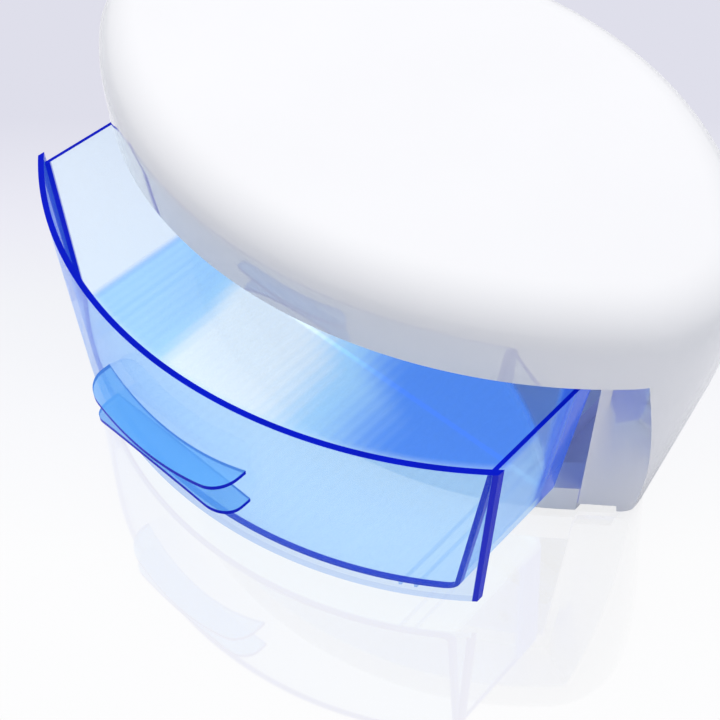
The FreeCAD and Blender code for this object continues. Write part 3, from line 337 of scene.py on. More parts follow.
def moulded(name, colour, rough, grain=0.0002, coat=0.0, vary=0.03):
    """Moulded plastic: faint shade drift, sheen drift and a fine skin."""
    f = Finish(name)
    drift = f.noise(9.0, 3.0)
    base = f.blend(drift, rgba(colour, 1.0 - vary), rgba(colour, 1.0 + vary))
    sheen = f.noise(60.0, 4.0) * (rough * 0.35) + rough * 0.82
    skin = f.bump(f.noise(2600.0, 2.0), 0.10, grain)
    return f.done(f.surface(base, sheen, Normal=skin, Coat_Weight=coat, Coat_Roughness=0.02,
                            Coat_IOR=1.75))


def metal(name, colour, rough, brushed=(1.0, 1.0, 1.0)):
    """Metal with a brushed grain along one axis."""
    f = Finish(name)
    grain = f.noise(900.0, 3.0, 0.6, f.place(brushed))
    base = f.blend(grain, rgba(colour, 0.92), rgba(colour, 1.08))
    return f.done(f.surface(base, grain * (rough * 0.5) + rough * 0.75, Metallic=1.0,
                            Normal=f.bump(grain, 0.15, 0.00005)))


def rubber(name, colour):
    """Matt rubber with a dusty skin."""
    f = Finish(name)
    dust = f.noise(320.0, 4.0)
    base = f.blend(dust, rgba(colour, 0.8), rgba(colour, 1.4))
    return f.done(f.surface(base, dust * 0.2 + 0.62, 1.45, Normal=f.bump(dust, 0.2, 0.0001)))


def with_painted_glow(f, colour, glow):
    """Clear blue plastic that shows its own colour, half of it as a painted glow."""
    return f.surface(f.blend(0.5, colour, BLACK), 0.2, 1.3, Specular_IOR_Level=0.1,
                     Emission_Color=colour, Emission_Strength=glow)


def clear_sheet(name, tint, body, share, grazing=0.5, glow=PAINTED_GLOW, veil=None):
    """Clear tinted sheet. Light goes through each face and takes its tint; the sheet's own
    blue shows by its share, with a painted glow, and where a face is seen edge on, under the
    polish. A veil gives the colour and the added share by place; the tray's veil paints light and
    shade."""
    f = Finish(name)
    facing = f.node("LayerWeight", {}, {"Blend": 0.5}, 1)
    ripple = f.noise(7.0, 2.0)
    through = f.node("BsdfTransparent", {}, {"Color": rgba(tint)})
    deep = f.blend(ripple, rgba(body, 0.92), rgba(body, 1.08))
    depth = facing ** 3.0 * grazing + (ripple * 0.02 + (share - 0.01))
    if veil:
        deep, added = veil(f, deep)
        depth = depth + added
    skin = with_painted_glow(f, deep, glow)
    layered = f.node("MixShader", {}, {0: depth, 1: through, 2: skin})
    polish = f.node("BsdfGlossy", {}, {"Color": WHITE, "Roughness": 0.015})
    shine = facing ** 5.0 * 0.35 + 0.006
    return f.done(f.node("MixShader", {}, {0: shine, 1: layered, 2: polish}))


def ramp(f, value, start, end, most=1.0):
    """Smooth step of a value from 0 at the start to most at the end."""
    return f.node("MapRange", {"interpolation_type": "SMOOTHSTEP"},
                  {"Value": value, "From Min": start, "From Max": end, "To Max": most})


def seen_in(f, centre_y):
    """Place along X, Y and Z in the object, with Y counted from an axis."""
    where = f.node("Mapping", {}, {"Vector": f.node("TexCoord", {}, {}, 3),
                                   "Location": (0.0, -centre_y, 0.0)})
    return where, [f.node("SeparateXYZ", {}, {"Vector": where}, i) for i in range(3)]


def floor_depth(f, x, y):
    """How blue the floor's painted shade is: least in a slanting band left of the middle, where a pale
    painted reflection shows.
    """
    across = x + y * 0.25 + (f.noise(9.0, 2.0) * 0.03 + 0.0375)
    rise = ramp(f, across, *BLUE_RIGHT)
    fall = ramp(f, across, *BLUE_LEFT, 0.46)
    behind = ramp(f, y, *BLUE_BEHIND_Y, 0.25) * ramp(f, x, *BLUE_BEHIND_X)
    return rise + fall + behind


def floor_clear(f, x, y):
    """1 where the floor is nearly clear: near the front plate and the right wall."""
    clear_x, clear_y, clear_r = CLEAR_ZONE
    away_x, away_y = x - clear_x, y - clear_y
    front = ramp(f, (away_x * away_x + away_y * away_y) ** 0.5, clear_r - 0.006, clear_r + 0.003)
    right = ramp(f, x, *CLEAR_RIGHT)
    return front * (1.0 - right) + right


def plate_joint(f, d, x, y, z):
    """1 on the faces that meet the front plate."""
    reach = (x * x + y * y) ** 0.5 + (z * -d.front_lean + d.top * d.front_lean)
    inner_r = d.front_r - d.thick
    return ramp(f, reach, inner_r - 2.6 * MM, inner_r - 2.2 * MM)


def floor_veil(f, deep):
    """Colour and added share of the tray: its floor has a pale painted reflection of the room left of
    the middle, deep blue painted shade to both sides and is nearly clear in front; the right wall has
    dark blue painted shade near the housing, the left wall painted light, and all of the tray turns
    dark blue where it meets the front plate."""
    scene = bpy.context.scene
    d = scene.sterilizer_drawer
    where, (x, y, z) = seen_in(f, d.axis_y + DRAWER_OPEN + scene.sterilizer_housing.plan_y)
    ridge = f.node("TexWave", {"bands_direction": "X"},
                   {"Vector": where, "Scale": math.pi / (10.0 * FLOOR_PITCH), "Distortion": 0.3})
    depth = floor_depth(f, x, y) + ridge * 0.05
    clear = floor_clear(f, x, y)
    floor = f.blend(ramp(f, depth, 0.0, 0.42), FLOOR_PALE, FLOOR_BLUE)
    floor = f.blend(ramp(f, depth, 0.38, 0.95), floor, deep)
    floor = f.blend(clear, floor, FLOOR_CLEAR)
    start, end = FLOOR_TOP_Z
    low = f.node("MapRange", {}, {"Value": z, "From Min": start, "From Max": end,
                                  "To Min": 1.0, "To Max": 0.0})
    # Painted shade: the right wall turns dark blue near the housing
    dark = ramp(f, y, *DARK_Y, 0.9) * ramp(f, x, *DARK_X)
    # Painted light: the left wall turns paler
    painted_light = ramp(f, x, *PAINTED_LIGHT_X) * (1.0 - low)
    wall = f.blend(painted_light, f.blend(dark, deep, WALL_DARK), WALL_PAINTED_LIGHT)
    share = low * (ridge * 0.04 + 0.74) * (clear * -0.42 + 1.0) + dark * (1.0 - low) + painted_light * 0.3
    joint = plate_joint(f, d, x, y + DRAWER_OPEN, z)
    edge = rgba(scene.sterilizer_colours.edge)
    return f.blend(joint, f.blend(low, wall, floor), edge), share + joint


def end_veil(f, deep):
    """Colour and added share of the front plate: deep blue along its two ends."""
    scene = bpy.context.scene
    d = scene.sterilizer_drawer
    _, (x, _, z) = seen_in(f, 0.0)
    lean = (d.half_top - d.half_bottom) / (d.top - d.bottom)
    reach = (x * x) ** 0.5 + (z * -lean + d.top * lean)
    end = ramp(f, reach, d.half_top - 2.2 * MM, d.half_top - 1.8 * MM)
    return f.blend(end, deep, rgba(scene.sterilizer_colours.edge)), end


def cut_edge(name, colour, tint, share=1.0):
    """Edge of the clear sheet, deep blue, with a painted glow in place of the light that runs along
    it. Its share is how much it hides of what lies behind it."""
    f = Finish(name)
    streak = f.noise(55.0, 2.0)
    deep = f.blend(streak, rgba(colour, 0.8), rgba(colour, 1.2))
    through = f.node("BsdfTransparent", {}, {"Color": rgba(tint)})
    return f.done(f.node("MixShader", {}, {0: streak * 0.04 + (share - 0.01), 1: through,
                                           2: with_painted_glow(f, deep, PAINTED_GLOW)}))


def glass(name):
    """Thin lamp glass."""
    f = Finish(name)
    haze = f.noise(40.0, 3.0)
    through = f.node("BsdfTransparent", {}, {"Color": (0.93, 0.95, 0.97, 1.0)})
    skin = f.surface((0.85, 0.87, 0.9, 1.0), 0.05)
    return f.done(f.node("MixShader", {}, {0: haze * 0.2 + 0.25, 1: through, 2: skin}))


def table_top(name, colour, turn):
    """Glossy pale table. Part of it is lit and keeps the shadow, part shows the backdrop's
    colour to the camera with a painted shade, white in front and greyer far away, and the polish
    mirrors the part."""
    f = Finish(name)
    wear = f.noise(14.0, 3.0)
    lit = f.node("BsdfDiffuse", {}, {"Color": f.blend(wear, rgba(colour, 0.985), rgba(colour, 1.015))})
    depth = f.node("SeparateXYZ", {}, {"Vector": f.place(turn=(0.0, 0.0, turn))})
    fade = f.node("MapRange", {}, {"Value": depth, "From Min": NEAR_EDGE, "From Max": FAR_EDGE})
    shade = f.node("ValToRGB", {"stops": TABLE_STOPS}, {"Fac": fade})
    bright = f.node("Emission", {}, {"Color": shade, "Strength": 1.0})
    seen = f.node("LightPath", {}, {})
    shown = f.node("MixShader", {}, {0: seen * TABLE_GLOW, 1: lit, 2: bright})
    polish = f.node("BsdfGlossy", {}, {"Color": WHITE, "Roughness": 0.04})
    shine = f.node("Fresnel", {}, {"IOR": 1.5})
    return f.done(f.node("MixShader", {}, {0: shine + 0.10, 1: shown, 2: polish}))


def kept(geom, kind):
    """Those of one kind among the vertices, edges and faces that an operator gives."""
    return [g for g in geom if isinstance(g, kind)]


def at_height(verts, z):
    """True if all vertices lie at a height."""
    return all(abs(v.co.z - z) < SOLID_GAP for v in verts)


def line_to(bm, vert, point, steps=1):
    """Extrudes an edge chain in a straight line and gives its tip."""
    start = vert.co.copy()
    end = Vector(point)
    for i in range(steps):
        vert = bmesh.ops.extrude_vert_indiv(bm, verts=[vert])["verts"][0]
        vert.co = start.lerp(end, (i + 1) / steps)
    return vert


def turn_about(bm, vert, centre, axis, angle, steps):
    """Spins an edge chain's tip into an arc and gives the new tip."""
    made = bmesh.ops.spin(bm, geom=[vert], cent=centre, axis=axis, angle=angle, steps=steps)
    return kept(made["geom_last"], BMVert)[0]


def spin_on(bm, geom, centre, angle, steps):
    """Spins a section about an upright axis and gives the last section."""
    made = bmesh.ops.spin(bm, geom=geom, cent=(*centre, 0.0), axis=UP, angle=angle, steps=steps)
    return made["geom_last"]


def close_up(bm):
    """Merges doubles, fills what is open with flat faces and points all faces outwards."""
    bmesh.ops.remove_doubles(bm, verts=bm.verts, dist=SOLID_GAP)
    rims = [e for e in bm.edges if e.is_boundary]
    if rims:
        bmesh.ops.holes_fill(bm, edges=rims, sides=0)
    bmesh.ops.recalc_face_normals(bm, faces=bm.faces)


def raised(bm, height):
    """Turns a closed chain of edges into a plate of a height, with its faces outwards."""
    bmesh.ops.remove_doubles(bm, verts=bm.verts, dist=CHAIN_GAP)
    bmesh.ops.contextual_create(bm, geom=bm.edges[:])
    made = bmesh.ops.extrude_face_region(bm, geom=bm.faces[:])
    bmesh.ops.translate(bm, vec=(0.0, 0.0, height), verts=kept(made["geom"], BMVert))
    bmesh.ops.recalc_face_normals(bm, faces=bm.faces)


def object_from(bm, name):
    """Object with the bmesh's mesh."""
    mesh = bpy.data.meshes.new(name)
    bm.to_mesh(mesh)
    bm.free()
    made = bpy.data.objects.new(name, mesh)
    bpy.context.scene.collection.objects.link(made)
    return made


def cut(target, cutter, operation="DIFFERENCE"):
    """Boolean with a cutter, which is then removed."""
    step = target.modifiers.new("cut", "BOOLEAN")
    step.operation = operation
    step.solver = "EXACT"
    step.object = cutter
    graph = bpy.context.evaluated_depsgraph_get()
    solid = bpy.data.meshes.new_from_object(target.evaluated_get(graph))
    target.modifiers.clear()
    old = target.data
    target.data = solid
    bpy.data.meshes.remove(old)
    waste = cutter.data
    bpy.data.objects.remove(cutter)
    bpy.data.meshes.remove(waste)
    return target


def settle(piece, body, materials, nodes=(), smooth=30.0):
    plan_y = bpy.context.scene.sterilizer_housing.plan_y
    piece.data.transform(Matrix.Translation((0.0, plan_y, 0.0)))
    for material in materials:
        piece.data.materials.append(material)
    piece.data.polygons.foreach_set("use_smooth", [True] * len(piece.data.polygons))
    piece.data.set_sharp_from_angle(angle=math.radians(smooth))
    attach(piece, body)
    if nodes:
        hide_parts(*nodes)


def block(low, high):
    """Box cutter between two corners, in metres."""
    bm = bmesh.new()
    bmesh.ops.create_cube(bm, size=1.0)
    size = Vector(high) - Vector(low)
    bmesh.ops.scale(bm, vec=size, verts=bm.verts)
    bmesh.ops.translate(bm, vec=(Vector(low) + Vector(high)) / 2, verts=bm.verts)
    return object_from(bm, "cutter")


def outline_arcs(h):
    """Four tangent arcs of the housing's outline: centre, radius, start and end angle."""
    end_x = h.half_width - h.end_r
    radii = []
    for depth in (h.end_y - h.front_y, h.rear_y - h.end_y):
        radii.append((end_x ** 2 + depth ** 2 - h.end_r ** 2) / (2 * (depth - h.end_r)))
    front_r, rear_r = radii
    front_c = h.front_y + front_r
    rear_c = h.rear_y - rear_r
    low = math.atan2(h.end_y - front_c, end_x)
    high = math.atan2(h.end_y - rear_c, end_x)
    return (((0.0, front_c), front_r, -math.pi - low, low),
            ((end_x, h.end_y), h.end_r, low, high),
            ((0.0, rear_c), rear_r, high, math.pi - high),
            ((-end_x, h.end_y), h.end_r, math.pi - high, math.pi - low))


def side_offset(h, z):
    """How far the side stands out from the outline at a height."""
    drop = h.top - h.top_edge_r - z
    if drop > h.blend:
        return h.bulge - h.blend * math.tan(h.lean / 2) - (drop - h.blend) * math.tan(h.lean)
    blend_r = h.blend / math.sin(h.lean)
    return h.bulge - blend_r + math.sqrt(blend_r ** 2 - drop ** 2)


def housing_block(h, inset, fine):
    """Closed solid inside the shell's skin: the side's section spun round the four arcs. The
    top and its rounding stay on the skin, and fine is the number of steps in a rounding."""
    arcs = outline_arcs(h)
    centre, radius, start, _ = arcs[0]
    band_z = h.top - h.top_edge_r
    blend_r = h.blend / math.sin(h.lean)
    foot_x, foot_z = foot_centre(h)
    bm = bmesh.new()
    tip = bm.verts.new((radius + foot_x, 0.0, h.bottom + inset))
    axis = (0, -1, 0)
    tip = turn_about(bm, tip, (radius + foot_x, 0.0, foot_z), axis, math.pi / 2 - h.lean, 8)
    low_z = band_z - h.blend
    reach = radius + side_offset(h, low_z) - inset * math.cos(h.lean)
    tip = line_to(bm, tip, (reach, 0.0, low_z + inset * math.sin(h.lean)), 10)
    tip = turn_about(bm, tip, (radius + h.bulge - blend_r, 0.0, band_z), axis, h.lean, fine)
    turn_about(bm, tip, (radius + h.bulge - h.top_edge_r, 0.0, band_z), axis, math.pi / 2, fine)
    turn = Matrix.Rotation(start, 3, "Z")
    bmesh.ops.rotate(bm, cent=(0, 0, 0), matrix=turn, verts=bm.verts)
    bmesh.ops.translate(bm, vec=(*centre, 0.0), verts=bm.verts)
    section = bm.verts[:] + bm.edges[:]
    for (centre, _, start, end), part in zip(arcs, (4, 2, 4, 2)):
        section = spin_on(bm, section, centre, end - start, fine * part)
    close_up(bm)
    return object_from(bm, "housing_block")


def foot_centre(h):
    """Centre of the foot's rounding in the side's section: offset and height."""
    z = h.bottom + h.foot_edge_r
    x = side_offset(h, z - h.foot_edge_r * math.sin(h.lean)) - h.foot_edge_r * math.cos(h.lean)
    return x, z


def floor_hole(h):
    """Column over the open bottom of the shell."""
    inset, top = foot_centre(h)
    arcs = outline_arcs(h)
    centre, radius, start, _ = arcs[0]
    reach = radius + inset
    bm = bmesh.new()
    tip = bm.verts.new((centre[0] + reach * math.cos(start), centre[1] + reach * math.sin(start),
                        BELOW))
    for centre, _, start, end in arcs:
        tip = turn_about(bm, tip, (*centre, BELOW), UP, end - start, 48)
    raised(bm, top - BELOW)
    return object_from(bm, "floor_hole")


def plate_outer(d, z):
    """Outer radius of the drawer front at a height."""
    return d.front_r - (d.top - z) * d.front_lean


def plate_inner(d, z):
    """Inner radius of the drawer front at a height."""
    return plate_outer(d, z) - d.thick


def rim_radius(d, z):
    """Radius of the rim that the closed drawer front seats against."""
    return plate_inner(d, z) - RIM_GAP


def recess(h, d, grow):
    """Space in front of the rim and under the brow, made larger by grow."""
    rim_axis = d.axis_y + DRAWER_OPEN
    bm = bmesh.new()
    rings = []
    for z in (h.bottom - 8 * MM, h.brow + grow):
        slope = h.cheek_foot + (h.cheek_brow - h.cheek_foot) * z / h.brow
        radius = rim_radius(d, z)
        far_x = h.rim_half + h.cheek_run
        far_y = (rim_axis - math.sqrt(radius ** 2 - h.rim_half ** 2) + slope * h.cheek_run
                 + grow * math.sqrt(1 + slope ** 2))
        radius -= grow
        near_y = rim_axis - math.sqrt(radius ** 2 - h.rim_half ** 2)
        half = math.asin(h.rim_half / radius)
        first = bm.verts.new((-h.rim_half, near_y, z))
        before = set(bm.verts)
        tip = turn_about(bm, first, (0.0, rim_axis, z), UP, 2 * half, 96)
        for x, y, steps in ((far_x, far_y, 12), (far_x, -BEYOND, 1), (-far_x, -BEYOND, 1),
                            (-far_x, far_y, 1), (-h.rim_half, near_y, 12)):
            tip = line_to(bm, tip, (x, y, z), steps)
        ring = [first] + [v for v in bm.verts if v not in before]
        bmesh.ops.remove_doubles(bm, verts=ring, dist=CHAIN_GAP)
        rings.append([e for e in bm.edges if at_height(e.verts, z)])
    bmesh.ops.bridge_loops(bm, edges=rings[0] + rings[1])
    upright = [e for e in bm.edges if abs(e.verts[0].co.z - e.verts[1].co.z) > 0.05]
    bmesh.ops.subdivide_edges(bm, edges=upright, cuts=14, use_grid_fill=True)
    close_up(bm)
    return object_from(bm, "recess")


def frustum(axis_y, radius_at, z0, z1, steps):
    """Closed solid of revolution between two heights, on the middle plane."""
    bm = bmesh.new()
    tip = bm.verts.new((radius_at(z0), 0.0, z0))
    line_to(bm, tip, (radius_at(z1), 0.0, z1))
    bmesh.ops.translate(bm, vec=(0.0, axis_y, 0.0), verts=bm.verts)
    spin_on(bm, bm.verts[:] + bm.edges[:], (0.0, axis_y), 2 * math.pi, steps)
    close_up(bm)
    return object_from(bm, "frustum")


class STERILIZER_OT_housing(Operator):
    """Smooth white shell with its brow, recess, cheeks, drawer opening and rear flat"""
    bl_idname = "sterilizer.housing"
    bl_label = "Housing"

    def execute(self, context):
        h = context.scene.sterilizer_housing
        d = context.scene.sterilizer_drawer
        colour = context.scene.sterilizer_colours.housing
        skin = self.shell(h, d)
        white = moulded("housing white", colour, 0.06, 0.00003, coat=0.8)
        # Faces inside the bay take the second finish, with its painted violet glow
        for face in skin.data.polygons:
            x, y, z = face.center
            inside = math.hypot(x, y - d.axis_y - DRAWER_OPEN) < rim_radius(d, z) - 1 * MM
            if inside and face.normal.x * x < 0 and y < BAY_REAR and z < h.brow:
                face.material_index = 1
        settle(skin, "housing", [white, self.inner(colour)], ("top_housing",), 48.0)
        return {"FINISHED"}

    def shell(self, h, d):
        """The hollow shell with its recess, drawer opening and rear flat, open below."""
        skin = housing_block(h, 0.0, 24)
        hollow = housing_block(h, h.wall, 10)
        cut(hollow, recess(h, d, h.wall))
        pocket_x = h.pocket_half + h.wall
        cut(hollow, block((-pocket_x, h.pocket_y - PAD_WALL, h.pocket_low - h.wall),
                          (pocket_x, BEYOND, h.pocket_high + h.wall)))
        cut(skin, hollow)
        cut(skin, recess(h, d, 0.0))
        cut(skin, block((-h.opening_half, -BEYOND, BELOW), (h.opening_half, 0.0, h.opening_top)))
        cut(skin, block((-h.pocket_half, h.pocket_y, h.pocket_low),
                        (h.pocket_half, BEYOND, h.pocket_high)))
        for x, half_x, half_z in REAR_HOLES:
            cut(skin, block((x - half_x, h.pocket_y - 20 * MM, REAR_HOLES_Z - half_z),
                            (x + half_x, BEYOND, REAR_HOLES_Z + half_z)))
        cut(skin, floor_hole(h))
        skin.name = "housing_shell"
        return skin

    def inner(self, colour):
        """White of the bay, with a painted violet glow and tint in place of the light that the clear
        drawer passes on to it.
        """
        f = Finish("housing inside painted glow")
        haze = f.blend(f.noise(12.0, 2.0), (0.20, 0.24, 0.56, 1.0), (0.24, 0.27, 0.60, 1.0))
        return f.done(f.surface(f.blend(0.4, haze, rgba(colour)), 0.35, Emission_Color=haze,
                                Emission_Strength=0.5))


def mark_edges(piece, is_edge):
    """Second material on the faces that lie on a cut edge."""
    for face in piece.data.polygons:
        face.material_index = 1 if is_edge(face.center, face.normal) else 0


class STERILIZER_OT_drawer_front(Operator):
    """Curved clear plate of the drawer with its two pull lips"""
    bl_idname = "sterilizer.drawer_front"
    bl_label = "Drawer front"

    def execute(self, context):
        d = context.scene.sterilizer_drawer
        colours = context.scene.sterilizer_colours
        sheet = clear_sheet("clear blue front", colours.clear, colours.deep, 0.01, veil=end_veil)
        fin = clear_sheet("clear blue lips", colours.clear, colours.lip, 0.50)
        rim = cut_edge("front edge", colours.edge, colours.clear)
        foot = cut_edge("front foot edge", colours.deep, colours.clear, 0.22)
        settle(self.plate(d), "drawer", [sheet, rim, foot], ("drawer_front",))
        for name, middle, rise, way in (("upper_lip", d.upper_z, d.upper_rise, 1),
                                        ("lower_lip", d.lower_z, -d.lower_fall, -1)):
            settle(self.lip(d, name, middle, rise, way), "drawer", [fin, rim])
        return {"FINISHED"}

    def plate(self, d):
        """The curved plate: its section spun about the front's axis, then cut at both ends."""
        bm = bmesh.new()
        first = bm.verts.new((plate_outer(d, d.bottom), 0.0, d.bottom))
        tip = line_to(bm, first, (plate_outer(d, d.top), 0.0, d.top), 6)
        tip = line_to(bm, tip, (plate_inner(d, d.top), 0.0, d.top))
        tip = line_to(bm, tip, (plate_inner(d, d.bottom), 0.0, d.bottom), 6)
        line_to(bm, tip, first.co)
        bmesh.ops.remove_doubles(bm, verts=bm.verts, dist=CHAIN_GAP)
        bmesh.ops.translate(bm, vec=(0.0, d.axis_y, 0.0), verts=bm.verts)
        turn = Matrix.Rotation(-math.pi / 2 - PLATE_SWEEP, 3, "Z")
        bmesh.ops.rotate(bm, cent=(0.0, d.axis_y, 0.0), matrix=turn, verts=bm.verts)
        spin_on(bm, bm.verts[:] + bm.edges[:], (0.0, d.axis_y), 2 * PLATE_SWEEP, 168)
        for side in (-1, 1):
            normal = (side * (d.top - d.bottom), 0.0, d.half_bottom - d.half_top)
            bmesh.ops.bisect_plane(bm, geom=bm.verts[:] + bm.edges[:] + bm.faces[:],
                                   plane_co=(side * d.half_top, 0.0, d.top), plane_no=normal,
                                   clear_outer=True)
        close_up(bm)
        plate = object_from(bm, "drawer_plate")

        def at_edge(centre, normal):
            """Faces on the plate's rim, seen from the axis."""
            away = Vector((centre.x, centre.y - d.axis_y, 0.0)).normalized()
            return abs(away.dot(normal)) < 0.8

        mark_edges(plate, at_edge)
        for face in plate.data.polygons:
            if face.normal.z < -0.8:
                face.material_index = 2
        return plate

    def lip(self, d, name, middle, rise, way):
        """One pull lip: a band parallel to the front, curved up or down towards its ends."""
        reach = plate_outer(d, d.upper_z) + d.lip_reach
        corner = d.lip_corner_r
        corner_x = d.lip_half - corner
        corner_y = d.axis_y - math.sqrt((reach - corner) ** 2 - corner_x ** 2)
        half = math.asin(corner_x / (reach - corner))
        root_y = d.axis_y - plate_outer(d, d.upper_z) + d.lip_reach
        bm = bmesh.new()
        first = bm.verts.new((-d.lip_half, root_y, 0.0))
        tip = line_to(bm, first, (-d.lip_half, corner_y, 0.0), 6)
        tip = turn_about(bm, tip, (-corner_x, corner_y, 0.0), UP, math.pi / 2 - half, 10)
        tip = turn_about(bm, tip, (0.0, d.axis_y, 0.0), UP, 2 * half, 48)
        tip = turn_about(bm, tip, (corner_x, corner_y, 0.0), UP, math.pi / 2 - half, 10)
        tip = line_to(bm, tip, (d.lip_half, root_y, 0.0), 6)
        line_to(bm, tip, first.co)
        raised(bm, -way * d.lip_thick)
        for i in range(1 - LIP_SLICES, LIP_SLICES):
            bmesh.ops.bisect_plane(bm, geom=bm.verts[:] + bm.edges[:] + bm.faces[:],
                                   plane_co=(i * d.lip_half / LIP_SLICES, 0.0, 0.0),
                                   plane_no=(1, 0, 0))
        radius = (d.lip_half ** 2 + rise ** 2) / (2 * abs(rise))
        for vert in bm.verts:
            bow = radius - math.sqrt(radius ** 2 - vert.co.x ** 2)
            vert.co.z += middle + math.copysign(bow, rise)
        plate = object_from(bm, name)
        cut(plate, frustum(d.axis_y, lambda z: plate_outer(d, z), d.bottom, d.top, 720))
        mark_edges(plate, lambda centre, normal: abs(normal.z) < 0.5)
        return plate


class STERILIZER_OT_drawer_tray(Operator):
    """Clear tray with leaning walls, rounded rear corners and runner ribs"""
    bl_idname = "sterilizer.drawer_tray"
    bl_label = "Drawer tray"

    def execute(self, context):
        d = context.scene.sterilizer_drawer
        colours = context.scene.sterilizer_colours
        sheet = clear_sheet("clear blue tray", colours.clear, colours.deep, 0.02, grazing=0.25,
                            glow=0.65, veil=floor_veil)
        faint = cut_edge("runner edge", colours.deep, colours.clear, 0.28)
        rim = cut_edge("tray edge", colours.edge, colours.clear)
        settle(self.tray(d), "drawer", [sheet, rim], ("drawer_tray",), 35.0)
        for side, hand in ((-1, "_left"), (1, "_right")):
            for name, x in (("inner", d.runner_inner), ("outer", d.runner_outer)):
                rib = self.rib(d, side * x)
                rib.name = "runner_" + name + hand
                settle(rib, "drawer", [faint])
        return {"FINISHED"}

    def wall_section(self, bm, d):
        """Section of the right wall with its rounding into the floor, at the tray's start."""
        foot = d.tray_half - (d.tray_top - d.tray_floor) * d.draft
        lean = math.atan(d.draft)
        swing = math.pi / 2 - lean
        bend = (foot - d.foot_r, TRAY_START, d.tray_floor + d.foot_r)
        tip = bm.verts.new((bend[0], TRAY_START, d.tray_floor))
        tip = turn_about(bm, tip, bend, (0, -1, 0), swing, 6)
        tip = line_to(bm, tip, (d.tray_half, TRAY_START, d.tray_top), 4)
        tip = line_to(bm, tip, (d.tray_half - d.wall, TRAY_START, d.tray_top))
        small_r = d.foot_r - d.wall
        low = (bend[0] + small_r * math.cos(lean), TRAY_START, bend[2] - small_r * math.sin(lean))
        tip = line_to(bm, tip, low, 4)
        turn_about(bm, tip, bend, (0, 1, 0), swing, 6)

    def straight(self, bm, edges, distance):
        """Draws a section out along Y and gives the new one."""
        made = bmesh.ops.extrude_edge_only(bm, edges=edges)["geom"]
        verts = kept(made, BMVert)
        bmesh.ops.translate(bm, vec=(0.0, distance, 0.0), verts=verts)
        return verts + kept(made, BMEdge)

    def tray(self, d):
        """The tray: right wall, rear corners, rear wall and left wall, and the floor."""
        corner_x = d.tray_half - d.corner_r
        corner_y = d.rear_axis_y + math.sqrt((d.rear_r - d.corner_r) ** 2 - corner_x ** 2)
        bend = math.atan2(corner_y - d.rear_axis_y, corner_x)
        bm = bmesh.new()
        self.wall_section(bm, d)
        last = self.straight(bm, bm.edges[:], corner_y - TRAY_START)
        last = spin_on(bm, last, (corner_x, corner_y), bend, 12)
        last = spin_on(bm, last, (0.0, d.rear_axis_y), math.pi - 2 * bend, 96)
        last = spin_on(bm, last, (-corner_x, corner_y), bend, 12)
        self.straight(bm, kept(last, BMEdge), TRAY_START - corner_y)
        bmesh.ops.remove_doubles(bm, verts=bm.verts, dist=CHAIN_GAP)
        self.floor(bm, d)
        bmesh.ops.recalc_face_normals(bm, faces=bm.faces)
        tray = object_from(bm, "tray_shell")
        cut(tray, self.front_cutter(d), "INTERSECT")

        def at_edge(centre, normal):
            """The walls' top edge, and the faces cut to the front plate's curve."""
            if normal.z > 0.8 and centre.z > d.tray_top - 1 * MM:
                return True
            away = Vector((centre.x, centre.y - d.axis_y, 0.0))
            gap = away.length - plate_inner(d, centre.z)
            return abs(gap) < 0.6 * MM and away.normalized().dot(normal) > 0.8

        mark_edges(tray, at_edge)
        return tray

    def floor(self, bm, d):
        """Top and underside of the tray's floor, and its front end."""
        for z in (d.tray_floor, d.tray_floor + d.wall):
            rim = [e for e in bm.edges if e.is_boundary and at_height(e.verts, z)]
            ends = [v for v in bm.verts if at_height([v], z) and abs(v.co.y - TRAY_START) < CHAIN_GAP]
            ends = sorted(ends, key=lambda v: abs(v.co.x))[:2]
            rim.append(bm.edges.new(ends))
            bmesh.ops.contextual_create(bm, geom=rim)
        rims = [e for e in bm.edges if e.is_boundary]
        bmesh.ops.holes_fill(bm, edges=rims, sides=0)

    def front_cutter(self, d):
        """Solid inside the front plate's curve."""
        return frustum(d.axis_y, lambda z: plate_inner(d, z), 0.0, CUTTER_TOP, 360)

    def rib(self, d, x):
        """One runner rib under the floor."""
        half = d.runner_width / 2
        rib = block((x - half, TRAY_START, d.tray_floor - d.runner_depth),
                    (x + half, 0.1, d.tray_floor - 0.02 * MM))
        rear_r = d.rear_r - (d.tray_top - d.tray_floor) * d.draft - d.foot_r - 1 * MM
        cut(rib, frustum(d.rear_axis_y, lambda z: rear_r, 0.0, CUTTER_TOP, 360), "INTERSECT")
        return cut(rib, self.front_cutter(d), "INTERSECT")


# Solids that are shown as they are: the kind of finish, its values, and the nodes that have it
DRESSING = (
    (rubber, ("foot rubber", (0.018, 0.018, 0.020)),
     ("foot_front_left", "foot_front_right", "foot_rear_left", "foot_rear_right")),
    (metal, ("screw steel", (0.58, 0.58, 0.60), 0.28),
     ("base_screws", "deck_screws", "ballast_screws")),
    (moulded, ("deck white", (0.80, 0.80, 0.83), 0.35), ("lamp_deck",)),
    (metal, ("bright aluminium", (0.85, 0.86, 0.88), 0.12, (0.05, 1.0, 1.0)), ("reflector",)),
    (glass, ("lamp glass",), ("lamp_tube",)),
    (metal, ("cap aluminium", (0.72, 0.72, 0.74), 0.3), ("lamp_caps",)),
    (moulded, ("holder white", (0.78, 0.78, 0.76), 0.4),
     ("lamp_holder_left", "lamp_holder_right", "starter_socket", "terminal_block")),
    (moulded, ("starter can", (0.80, 0.80, 0.77), 0.3), ("starter",)),
    (moulded, ("ballast paint", (0.62, 0.62, 0.64), 0.35, 0.0003), ("ballast",)),
    (moulded, ("fitting black", (0.012, 0.012, 0.014), 0.38, 0.0003, 0.0, 0.2),
     ("mains_inlet", "switch_body", "rocker", "interlock_switch")),
    (metal, ("pin brass", (0.62, 0.45, 0.18), 0.25), ("inlet_pins",)),
    (moulded, ("plunger red", (0.45, 0.03, 0.02), 0.4), ("interlock_plunger",)),
)


